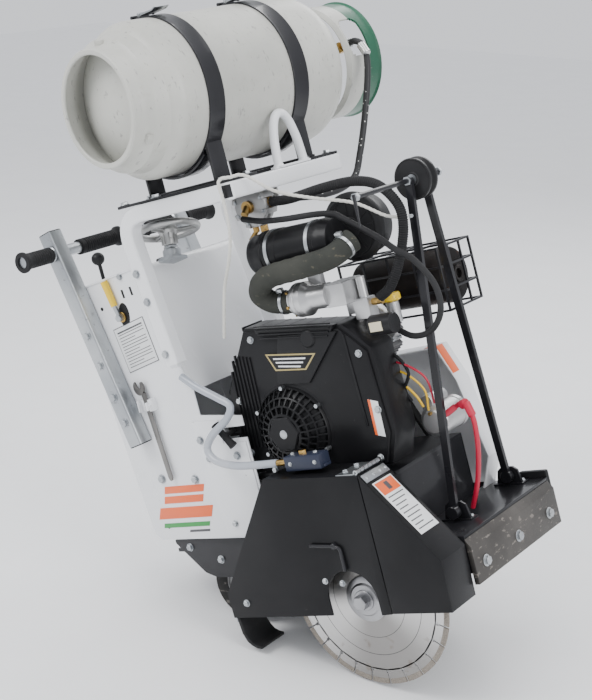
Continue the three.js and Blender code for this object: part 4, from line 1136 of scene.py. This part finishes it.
# ---- Intake and gas mixer ----
# A black canister air cleaner with a round precleaner bowl feeds a rubber elbow, an aluminium gas mixer and its solenoid.
canister = Work()
canister.turned([(0, -150), (38, -150), (41, -146), (42, -138), (42, -128), (46, -120), (46, -112),
                 (44.6, -111), (44.6, -84), (46, -83), (46, -76),
                 (44.8, -75), (44.8, 20), (46, 21), (46, 30), (44, 36), (41, 50), (36, 52), (0, 52)],
                 (0, 120, 677), "x", 64)
canister.turned([(0, -155), (10, -155), (12, -150), (0, -150)], (0, 120, 677), "x", 24)
canister.box((-60, -30), (108, 132), (630, 636), 2)
canister.slot = 1
canister.turned([(44.6, -100), (46.6, -100), (46.6, -92), (44.6, -92)], (0, 120, 677), "x", 64)
canister.turned([(44.6, 2), (46.6, 2), (46.6, 10), (44.6, 10)], (0, 120, 677), "x", 64)
canister.rod((-154, 120, 677), (-163, 120, 677), 4, 16)
canister.box((-163, -158), (102, 138), (672, 682), 2.2)
piece("air_canister", canister, [shroud, zinc], replaces=("air_cleaner",))
elbow = Work()
bend = smooth_line([(96, 100, 672), (70, 55, 652), (0, 47, 645), (-70, 49, 640), (-104, 55, 630),
                    (-124, 64, 608), (-112, 76, 588), (-88, 82, 581), (-65, 84, 580)], 110)


def swell(t):
    ends = max(0, 1 - t / 0.07) + max(0, (t - 0.93) / 0.07)
    return circle(22 + 1.2 * min(1, ends) + 0.8 * math.sin(38 * t) ** 4 * (0.3 < t < 0.75), 40)


elbow.sweep(bend, swell)
elbow.slot = 1
for at in (6, 103):
    elbow.sweep([bend[at].lerp(bend[at + 2], f) for f in (0, 0.5, 1.0)], circle(24.2, 48))
    elbow.box((-7, 7), (-5, 5), (22, 31), 1.4,
              turn=Matrix.Translation(bend[at + 1]) @ Matrix.Rotation(0.3, 4, "X"))
aged_rubber = plain_finish("aged_rubber", rgb(0.032, 0.034, 0.03), rgb(0.055, 0.056, 0.048), 0.72, grain=420,
                           depth=0.0008,
                           scuff=rgb(0.12, 0.11, 0.08), amount=0.6)
piece("rubber_elbow", elbow, [aged_rubber, zinc], replaces=("intake_elbow",))
mixer = Work()
mixer.turned([(0, 0), (27, 0), (27, 3), (33, 9), (34, 12), (34, 18), (32, 19), (32, 26), (34, 27), (34, 34),
              (26, 44), (24, 48), (24, 88), (0, 88)], (-60, 84, 580), "x", 48)
mixer.box((20, 70), (70, 140), (556, 600), 4)
mixer.box((30, 60), (120, 150), (530, 600), 3)
mixer.box((60, 96), (100, 130), (520, 560), 3)
mixer.box((-30, 0), (100, 116), (590, 628.5), 2)
for k in range(6):
    mixer.box((24, 66), (73 + 11 * k, 76 + 11 * k), (598, 601), 0.8)
mixer.turned([(0, 552), (9, 552), (9, 600), (0, 600)], (80, 116, 0), "z", 24)
mixer.slot = 1
mixer.rod((92, 100, 505), (146, 100, 505), 20, 40, 2)
mixer.slot = 2
mixer.box((100, 128), (79, 82), (496, 514), 1)
mixer.slot = 3
for k in range(6):
    a = k * math.tau / 6 + 0.3
    mixer.rod((-61.6, 84 + 29 * math.cos(a), 580 + 29 * math.sin(a)),
              (-57, 84 + 29 * math.cos(a), 580 + 29 * math.sin(a)), 3, 6)
mixer.rod((118, 118, 548), (92, 118, 548), 7, 20)
cream = plain_finish("cream_tab", rgb(0.66, 0.6, 0.44), rgb(0.58, 0.52, 0.38), 0.45, grain=500)
piece("gas_mixer", mixer, [bright, moulded_black, cream, brass], replaces=("fuel_mixer",))
bowl = Work()
bowl.turned([(0, 172), (58, 172), (60, 174), (66, 177), (68, 180), (68, 190), (64, 193), (61, 198), (60, 204),
             (60, 228), (58, 231), (52, 238), (46, 242), (0, 242)], (48, 0, 690), sides=64)
bowl.turned([(52, 170.5), (55, 170.5), (55, 173), (52, 173)], (48, 0, 690), sides=64)
bowl.turned([(0, 170.4), (20, 170.4), (22, 173), (0, 173)], (48, 0, 690), sides=40)
for k in range(12):
    bowl.box((22, 52), (170.8, 173), (-1.2, 1.2), 0.5,
             turn=Matrix.Translation((48, 0, 690)) @ Matrix.Rotation(k * math.tau / 12, 4, "Y"))
piece("precleaner_bowl", bowl, moulded_black, replaces=("dust_bowl",))

# ---- Muffler and wire guard ----
# A rolled steel muffler blackened by heat, with a short tail pipe, inside a welded cage of black wire.
heat = plain_finish("heat_black", rgb(0.012, 0.011, 0.011), rgb(0.028, 0.022, 0.02), 0.55, metallic=0.3,
                    grain=600, depth=0.0006,
                    scuff=rgb(0.1, 0.05, 0.03), amount=0.62)
pot = Work()
pot.turned([(0, -60), (48, -60), (54, -57), (56, -52), (56, -44), (54.6, -43), (54.6, 138), (56, 139),
            (56, 150), (53, 156), (46, 158), (0, 158)], (0, 322, 548), "x", 64)
pot.turned([(10, 157), (17, 157), (17, 169), (15.5, 170), (10, 168)], (0, 322, 548), "x", 36)
pot.turned([(0, 157), (10.5, 157), (10.5, 160), (0, 160)], (0, 322, 548), "x", 36)
piece("muffler_can", pot, heat, replaces=("muffler",))

# ---- Belt drive ----
# A ribbed belt runs from the crankshaft pulley down to the pulley on the blade shaft, under a folded white cover.
rubber_belt = plain_finish("belt_rubber", rgb(0.015, 0.015, 0.016), rgb(0.04, 0.038, 0.036), 0.6, grain=1300)
machined = plain_finish("machined_steel", rgb(0.45, 0.45, 0.46), rgb(0.33, 0.33, 0.34), 0.34, metallic=1.0,
                        grain=900, scuff=rgb(0.2, 0.14, 0.09))
path = []
for k in range(150):
    d = Vector((math.cos(k * math.tau / 150), math.sin(k * math.tau / 150)))
    middle, radius = max(((Vector((-128, 330)), 51), (Vector((0, 0)), 66)), key=lambda c: c[0].dot(d) + c[1])
    path.append((middle.x + radius * d.x, 363, middle.y + radius * d.y))
section = [(-9, 3.6), (9, 3.6)] + [p for k in range(6) for p in ((9 - 3 * k, -2.2),
        (7.5 - 3 * k, -3.7))] + [(-9, -2.2)]
belt = Work()
belt.sweep(path, section, closed=True)
piece("ribbed_belt", belt, rubber_belt, replaces=("drive_belt",))


def pulley(work, radius, place):
    work.turned([(0, 352), (radius, 352), (radius, 353.6)]
                + [p for k in range(6) for p in ((radius - 1.6, 355 + 3 * k), (radius, 356.5 + 3 * k))][:-1]
                + [(radius - 1.6, 372.4), (radius, 373), (radius, 374), (radius - 9, 374), (radius - 11, 369),
                   (20, 369), (19, 374), (0, 374)], place, sides=72)


shaft = Work()
shaft.rod((-128, 300.4, 330), (-128, 379.8, 330), 14, 36)
pulley(shaft, 46, (-128, 0, 330))
piece("crank_pulley", shaft, machined, body="crank", replaces=("crankshaft",))
cover_line = [(-120, 98.3), (-205, 300), (-185, 395), (60, 404), (92, 330), (124, 165), (95, 98.3)]
hood = Work()
hood.plate(cover_line, (383, 386), 1)
rim(hood, cover_line, (338, 385), 3.4)
hood.slot = 1
rim(hood, [(30, 403.4), (60.3, 404.4), (86, 345)], (341, 366), -0.5, 0.1)
piece("belt_cover", hood, [white_paint, orange], replaces=("belt_guard",))
fasten("belt_cover_bolts", "bolt",
       [((x, 386, z), (0, 1, 0), 7) for x, z in ((-150, 330), (30, 380), (96, 180), (-100, 130), (60, 120))],
        zinc)

# ---- Front guide ----
# Two black flat bars pivot on lugs at the front of the deck and carry a flanged sighting roller and a pointer.
arms = Work()
bar = [(-4.5, -7.5), (4.5, -7.5), (4.5, 7.5), (-4.5, 7.5)]
arms.sweep([(150, 134, 118), (200, 178, 753)], bar)
arms.sweep(bent([(150, 346, 118), (197, 236, 690), (200, 230, 753)], 40), bar)
arms.rod((150, 122, 118), (150, 138, 118), 13, 28, 1)
arms.rod((150, 339, 118), (150, 352, 118), 13, 28, 1)
arms.rod((200, -6, 753), (200, 290, 753), 5, 20)
arms.slot = 1
arms.rod((195, 173, 688), (187, 168, 688), 4.5, 16)
for y in (168, 224, 280):
    arms.rod((200, y, 753), (200, y + 6, 753), 9, 6, 0.8)
arms.rod((200, -7, 753), (200, 3, 753), 8, 6, 0.8)
arms.slot = 0
arms.sweep([(200, -6, 758), (200, -8, 730), (200, -10, 700)], lambda t: circle(4 - 2.4 * t, 14))
piece("guide_bars", arms, [black_paint, zinc], body="guide", replaces=("guide_arms",))
wheel = Work()
wheel.turned([(5.3, 188), (12, 188), (14, 190), (36, 190), (38, 188.6), (40, 190), (40, 195), (37, 197),
              (32, 199), (30, 202), (30, 204), (32, 207),
              (37, 209), (40, 211), (40, 216), (38, 217.4), (36, 216), (14, 216), (12, 218), (5.3, 218)],
              (200, 0, 753), sides=64)
wheel.slot = 1
wheel.turned([(5.3, 186.6), (10, 186.6), (10, 188.4), (5.3, 188.4)], (200, 0, 753), sides=24)
piece("sighting_roller", wheel, [moulded_black, zinc], body="roller", replaces=("guide_roller",))

# ---- Blade guard ----
# A welded steel blade guard painted satin black: a fixed rear half with a slot for the flange, and a front half that
# folds up on a zinc piano hinge. A rod latch holds it shut; a rubber flap hangs at the back.
satin = plain_finish("satin_black", rgb(0.006, 0.006, 0.007), rgb(0.011, 0.011, 0.012), 0.36, coat=0.06,
                     grain=900, depth=0.0003,
                     scuff=rgb(0.11, 0.1, 0.09), amount=0.69)
rear = Work()


def cheek(radius, low, height, corner):
    arc = [(radius * math.cos(a), height + radius * math.sin(a))
           for a in (math.pi - k * math.pi / 24 for k in range(25))]
    return [(-315, -22), (-radius, low), *arc, (radius, low), *corner]


rear.plate(cheek(58, -17.5, 14, [(82, -16), (82, 256), (-145, 264), (-316, 30)]), (-48, -44), 0.9)
rear.plate(cheek(30, -17.5, 0, [(82, -16), (82, 256), (-145, 264), (-316, 30)]), (34, 38), 0.9)
rim(rear, [(-315, -22), (-316, 30), (-145, 264), (82, 256)], (-47, 37), 4)
rear.slot = 1
rear.box((30, 76), (-44, 34), (256.4, 259.4), 0.6)
for k in range(6):
    rear.turned([(1.8, -44 + 13 * k), (5, -44 + 13 * k), (5, -32.4 + 13 * k), (1.8, -32.4 + 13 * k)],
                (77, 0, 261), sides=20)
piece("rear_blade_guard", rear, [satin, zinc], replaces=("blade_guard_rear",))
front = Work()
cut = [(83, -15), (217, -13), (220, 86), (84, 256)]
front.plate([(84, -15), *cut[1:]], (-48, -44), 0.9)
front.plate([(84, -15), *cut[1:]], (34, 38), 0.9)
rim(front, [(84, 256), (220, 86), (217, -13)], (-47, 37), 4)
slope = Matrix.Translation((83, 0, 256)) @ Matrix.Rotation(math.radians(51.2), 4, "Y")
front.slot = 1
front.box((4, 22), (-44, 34), (0.6, 3.2), 0.6, turn=slope)
front.slot = 2
front.box((28, 158), (-34, 28), (0.5, 1.1), 0.2, turn=slope)
front.slot = 3
front.box((31, 60), (-31, 25), (1.0, 1.35), 0.1, turn=slope)
front.slot = 4
for k in range(9):
    front.box((66 + 10 * k, 68.4 + 10 * k), (-28, 22 - 7 * (k % 4)), (1.0, 1.3), 0, turn=slope)
front.box((36, 54), (-8, 4), (1.3, 1.5), 0, turn=slope)
piece("front_blade_guard", front, [satin, zinc, plate_white, orange, ink], body="front_guard",
      replaces=("blade_guard_front",))
fasten("rear_guard_bolts", "bolt",
       [((-55, -48, 53), (0, -1, 0), 5), ((-15, -48, 48), (0, -1, 0), 5), ((-270, -48, 10), (0, -1, 0), 6),
       ((40, -24, 259.4), (0, 0, 1), 5), ((40, 14, 259.4), (0, 0, 1), 5)], zinc)
fasten("front_guard_rivets", "rivet",
       [(tuple(slope @ Vector((14, y, 3.2))), (0.779, 0, 0.627), 3.4) for y in (-34, -12, 10, 28)], zinc,
        body="front_guard")
latch = Work()
latch.sweep(bent([(-66, -53, 127), (-10, -53, 124), (4, -53, 120), (3, -53, 74)], 8), circle(3.5, 16))
latch.rod((-10, -56, 124), (-10, -48.4, 124), 6, 20)
piece("guard_latch_rod", latch, black_paint, body="latch", replaces=("guard_latch",))
flap = Work()
flap.plate([(-313, -24), (-309, -58), (-301, -76), (-292, -84), (-280, -90), (-268, -92), (-266, -86),
            (-278, -83), (-288, -78), (-296, -68), (-302, -56), (-305, -24)],
           (-43, 33), 1.2)
flap.slot = 1
flap.box((-316, -312), (-42, 32), (-34, -22.4), 0.8)
piece("rubber_mud_flap", flap, [black_rubber, zinc], replaces=("mud_flap",))

# ---- Diamond blade ----
# A slotted steel core with sintered diamond segments brazed to its rim, clamped between two turned flanges.
core = Finish("blade_core", Metallic=1.0)
across = core.node("ShaderNodeMapping", Vector=core.place, Location=tuple(-blade_centre)).outputs[0]
parts = core.node("ShaderNodeSeparateXYZ", Vector=across)
east, up = Value(core.tree, parts.outputs[0]), Value(core.tree, parts.outputs[2])
radius = (east * east + up * up).math("SQRT")
angle = up.math("ARCTAN2", east)
# Painted sheen: the core's colour turns lighter and darker with the angle round the blade centre, a painted reflection
# of the turned steel.
painted_sheen = (angle * 2.0 + 0.7).math("SINE")
rings = Value(core.tree,
              core.node("ShaderNodeTexNoise", {"noise_dimensions": "1D"}, W=radius * 900,
                        Detail=3.0).outputs[0])
line = (radius - 0.118).math("ABSOLUTE") < 0.0006
line = line + ((radius - 0.082).math("ABSOLUTE") < 0.0005)
# The core colour picks between a darker and a lighter steel tone. The angle part is the painted sheen (painted
# reflection); the grinding rings are real grain.
tone = core.blend(core.fade(painted_sheen + rings * 0.5, -0.6, 1.2), rgb(0.3, 0.29, 0.28), rgb(0.62, 0.61, 0.6))
tone = core.blend(core.fade(core.noise(38, 7), 0.6, 0.72) * 0.5, tone, rgb(0.2, 0.16, 0.13))
tone = core.blend(line, tone, rgb(0.08, 0.08, 0.08))
blade_core = core.wear(tone, rings * 0.2 + 0.24, None, rings, 0.00012)
grit = Finish("diamond_segment", Metallic=0.7)
speckle, lump = grit.noise(1500, 4), grit.noise(90, 5)
diamond_segment = grit.wear(grit.blend(grit.fade(speckle, 0.4, 0.62), rgb(0.2, 0.175, 0.15),
                                       rgb(0.4, 0.36, 0.31)), lump * 0.3 + 0.45, None, speckle + lump, 0.0008)
disc = Work()
disc.turned([(13, -1.2), (150, -1.2), (150, 1.2), (13, 1.2)], sides=156)
half = math.pi / 26


def polar(r, a):
    return (r * math.cos(a), r * math.sin(a))


def keyhole(at, way):
    """Half of the round stress relief hole at the foot of a slot."""
    x, z = polar(153, at)
    bows = (math.pi * 0.98, 2.4, 1.9, 1.3, 0.8, 0.38)
    return [(x + 3.4 * math.cos(at + way * bow), z + 3.4 * math.sin(at + way * bow)) for bow in bows]


for k in range(26):
    a = 2 * half * k
    lower = keyhole(a - half, 1)
    upper = keyhole(a + half, -1)[::-1]
    wedge = [polar(148, a - half)] + lower + [polar(168, a - half + 1.5 / 168), polar(168, a - half / 2),
            polar(168, a), polar(168, a + half / 2),
            polar(168, a + half - 1.5 / 168)] + upper + [polar(148, a + half)]
    disc.slot = 0
    disc.plate(wedge, (-1.2, 1.2), 0)
    disc.slot = 1
    tooth = [polar(167, a + half * f) for f in (-0.91, -0.45, 0, 0.45, 0.91)] + [polar(177.7, a + half * f)
            for f in (0.915, 0.45, 0, -0.45, -0.915)]
    disc.plate(tooth, (-1.6, 1.6), 0.25)
piece("diamond_blade", disc, [blade_core, diamond_segment], body="rotor", replaces=("blade",))
arbor = Work()
arbor.turned([(13.4, -15.8), (30, -15.8), (34, -12), (42, -11), (46, -9), (46, -2), (13.4, -2)], sides=64)
arbor.turned([(13.4, 2), (46, 2), (46, 9), (40, 12), (30, 15.8), (13.4, 15.8)], sides=64)
arbor.turned([(0, -35.8), (13, -35.8), (15, -33.6), (15, -19), (0, -19)], sides=6)
arbor.turned([(0, -19), (20, -19), (21, -18), (21, -15.6), (0, -15.6)], sides=40)
arbor.turned([(0, -15), (12.9, -15), (12.9, 2), (15.9, 15), (15.9, 378), (14.6, 379.6), (0, 379.6)], sides=40)
pulley(arbor, 61, (0, 0, 0))
piece("blade_arbor", arbor, machined, body="rotor", replaces=("blade_shaft",))

# ---- Base frame ----
# Bent and welded steel plate: sides, deck, front cross plate, engine cradle, bearing blocks, axle hangers and guide
# lugs, all one weldment, with a bolted weight bar across the nose and a rubber cap at its far corner.
frame_work = Work()
side = [(-519, 110), (-455, 42), (-425, 30), (215, 24), (215, 98), (-240, 98), (-260, 118), (-519, 118)]
frame_work.plate(side, (48, 54), 1)
frame_work.plate(side, (382, 388), 1)
for x, y in (((-519, -190), (50, 386)), ((80, 215), (50, 386)), ((-192, 82), (50, 340)),
             ((-192, 82), (381, 386))):
    frame_work.box(x, y, (90, 98), 0.8)
frame_work.box((207, 215), (50, 386), (24, 94), 0.8)
for y in ((53, 66), (321, 334)):
    hole = [(16.3 * math.cos(a), 16.3 * math.sin(a)) for a in (math.pi * k / 24 for k in range(25))]
    frame_work.plate([(34, 0), (34, -30), (-34, -30), (-34, 0), (-16.3, 0)] + [(x, -z) for x,
            z in hole[::-1][1:-1]] + [(16.3, 0)], y, 0)
    frame_work.plate([(34, 0), (44, 91), (-44, 91), (-34, 0), (-16.3, 0)] + hole[::-1][1:-1] + [(16.3, 0)], y,
                     0)
    frame_work.turned([(16.4, y[0] - 3), (27, y[0] - 3), (30, y[0]), (30, y[1]), (27, y[1] + 3),
                       (16.4, y[1] + 3)], sides=48)
    frame_work.plate([(-386, -7), (-372, -9), (-358, -7), (-354, 91), (-390, 91)], (104, 112) if y[0] < 99
                     else (324, 332), 0.9)
for y in ((101, 109), (277, 285)):
    frame_work.plate([(-282, -36), (-238, -36), (-230, 91), (-290, 91)], y, 0.9)
for y in ((144, 150), (355, 361)):
    frame_work.plate([(116, 97), (176, 97), (170, 128), (160, 135), (134, 135), (124, 128)], y, 0.9)
    frame_work.box((112, 180), (y[0] - 6, y[1] + 14), (97, 101), 0.8)
frame_work.box((-290, 80), (75, 326), (216, 224), 1.2)
for x in ((-290, -282), (72, 80)):
    frame_work.box(x, (75, 326), (97, 218), 1.2)
for x in (-290, 74):
    for y in (75, 320):
        frame_work.box((x, x + 6), (y, y + 6), (97, 220), 1)
for x, z in ((-400, 98), (-300, 98), (150, 98)):
    frame_work.box((x, x + 60), (384, 390.4), (40, 60), 1)
frame_work.slot = 1
frame_work.rod((-372, 56, 6.9), (-372, 380, 6.9), 10, 28)
frame_work.rod((-260, 105, -20), (-260, 281, -20), 8, 24)
piece("welded_frame", frame_work, [black_paint, machined], replaces=("base_frame",))
fasten("frame_bolts", "bolt", [((x, y, 98), (0, 0, 1), 6.5) for x in (-270, 60) for y in (90, 310)]
       + [((x, 48, z), (0, -1, 0), 7) for x, z in ((190, 60), (120, 60), (-400, 70), (-480, 100))]
       + [((x, y, 101), (0, 0, 1), 4.5) for x in (122, 170) for y in (157.5, 368.5)]
        + [((x, 388, z), (0, 1, 0), 7) for x, z in ((60, 60), (-60, 60), (-200, 60), (-420, 80))], zinc)
worn_steel = plain_finish("worn_steel", rgb(0.07, 0.065, 0.06), rgb(0.13, 0.12, 0.11), 0.5, metallic=0.7,
                          grain=420, depth=0.0008,
                          scuff=rgb(0.3, 0.27, 0.24), amount=0.58)
weight = Work()
weight.plate([(215.3, 3), (226, 3), (226, 76), (215.3, 92)], (46, 385), 1.4)
piece("nose_weight_bar", weight, worn_steel, replaces=("front_weight_bar",))
fasten("weight_bolts", "bolt", [((226, y, 36), (1, 0, 0), 9) for y in (86, 215, 345)], zinc)
corner = Work()
corner.box((150, 214), (388.4, 402), (20, 112), 5)
for k in range(4):
    corner.box((156, 208), (400.5, 402), (32 + 20 * k, 38 + 20 * k), 0.7)
piece("corner_cap", corner, moulded_black, replaces=("front_corner_cap",))

# ---- Wheels and depth yoke ----
# Solid tyres moulded on cast hubs: two on the rear axle, two smaller ones on the yoke that the screw swings.
tread = plain_finish("tyre_rubber", rgb(0.016, 0.016, 0.016), rgb(0.05, 0.047, 0.043), 0.72, grain=500,
                     depth=0.0008, scuff=rgb(0.14, 0.13, 0.12), amount=0.58)
for name, node, body, radius, x, z, low, high, bore in (
        ("rear_wheel_near_tyre", "rear_wheel_near", "rear_roller_near", 75, -372, 6.9, 60, 94, 10.6),
        ("rear_wheel_far_tyre", "rear_wheel_far", "rear_roller_far", 75, -372, 6.9, 342, 376, 10.6),
        ("front_wheel_near_tyre", "front_wheel_near", "front_roller_near", 62, -110, -91.6, 69, 103, 9.6),
        ("front_wheel_far_tyre", "front_wheel_far", "front_roller_far", 62, -110, -91.6, 284, 318, 9.6)):
    hub = radius * 0.56
    tyre = Work()
    tyre.turned([(hub, low + 1), (radius - 6, low), (radius - 2, low + 2), (radius, low + 6),
                 (radius, high - 6), (radius - 2, high - 2), (radius - 6, high), (hub, high - 1)],
                (x, 0, z), sides=72)
    tyre.slot = 1
    tyre.turned([(bore, low + 3), (bore + 6, low + 3), (bore + 8, low + 5), (hub - 5, low + 5),
                 (hub - 3, low + 2), (hub + 0.5, low + 2), (hub + 0.5, high - 2),
                 (hub - 3, high - 2), (hub - 5, high - 5), (bore + 8, high - 5), (bore + 6, high - 3),
                 (bore, high - 3)], (x, 0, z), sides=56)
    piece(name, tyre, [tread, casting], body=body, replaces=(node,))
yoke = Work()
yoke.turned([(8.5, 112), (15, 110.5), (17, 112), (17, 274), (15, 275.5), (8.5, 274)], (-260, 0, -20),
            sides=36)
for y in (124, 262):
    yoke.sweep([(-260, y, -20), (-110, y, -91.6)], soft_square(22, 3))
    yoke.turned([(9.2, y - 13), (17, y - 13), (18, y - 12), (18, y + 12), (17, y + 13), (9.2, y + 13)],
                (-110, 0, -91.6), sides=32)
yoke.slot = 1
yoke.rod((-110, 66, -91.6), (-110, 321, -91.6), 9, 24)
piece("depth_yoke_arm", yoke, [black_paint, machined], body="yoke", replaces=("depth_yoke",))

# ---- Battery, cage and what is left ----
# The battery is a moulded case with lead posts; the muffler cage is welded wire, drawn whole in the first model.
cell = Work()
cell.box((-544, -366), (191, 319), (118.6, 236), 3)
cell.box((-545, -365), (190, 320), (232, 252), 2)
for k in range(3):
    cell.box((-530 + 56 * k, -490 + 56 * k), (206, 226), (251, 255), 1.5)
cell.slot = 1
for y in (212, 298):
    cell.turned([(0, 250), (9, 250), (7.5, 260), (0, 260)], (-386, y, 0), "z", 24)
piece("battery_case", cell, [moulded_black, machined], replaces=("battery",))

cage = frame["nodes"]["muffler_cage"].data.materials
cage.clear()
cage.append(black_paint)

# ---- Closing ----
# The fastener stamps have done their work and are removed.
for made in stamps.values():
    bpy.data.objects.remove(made)
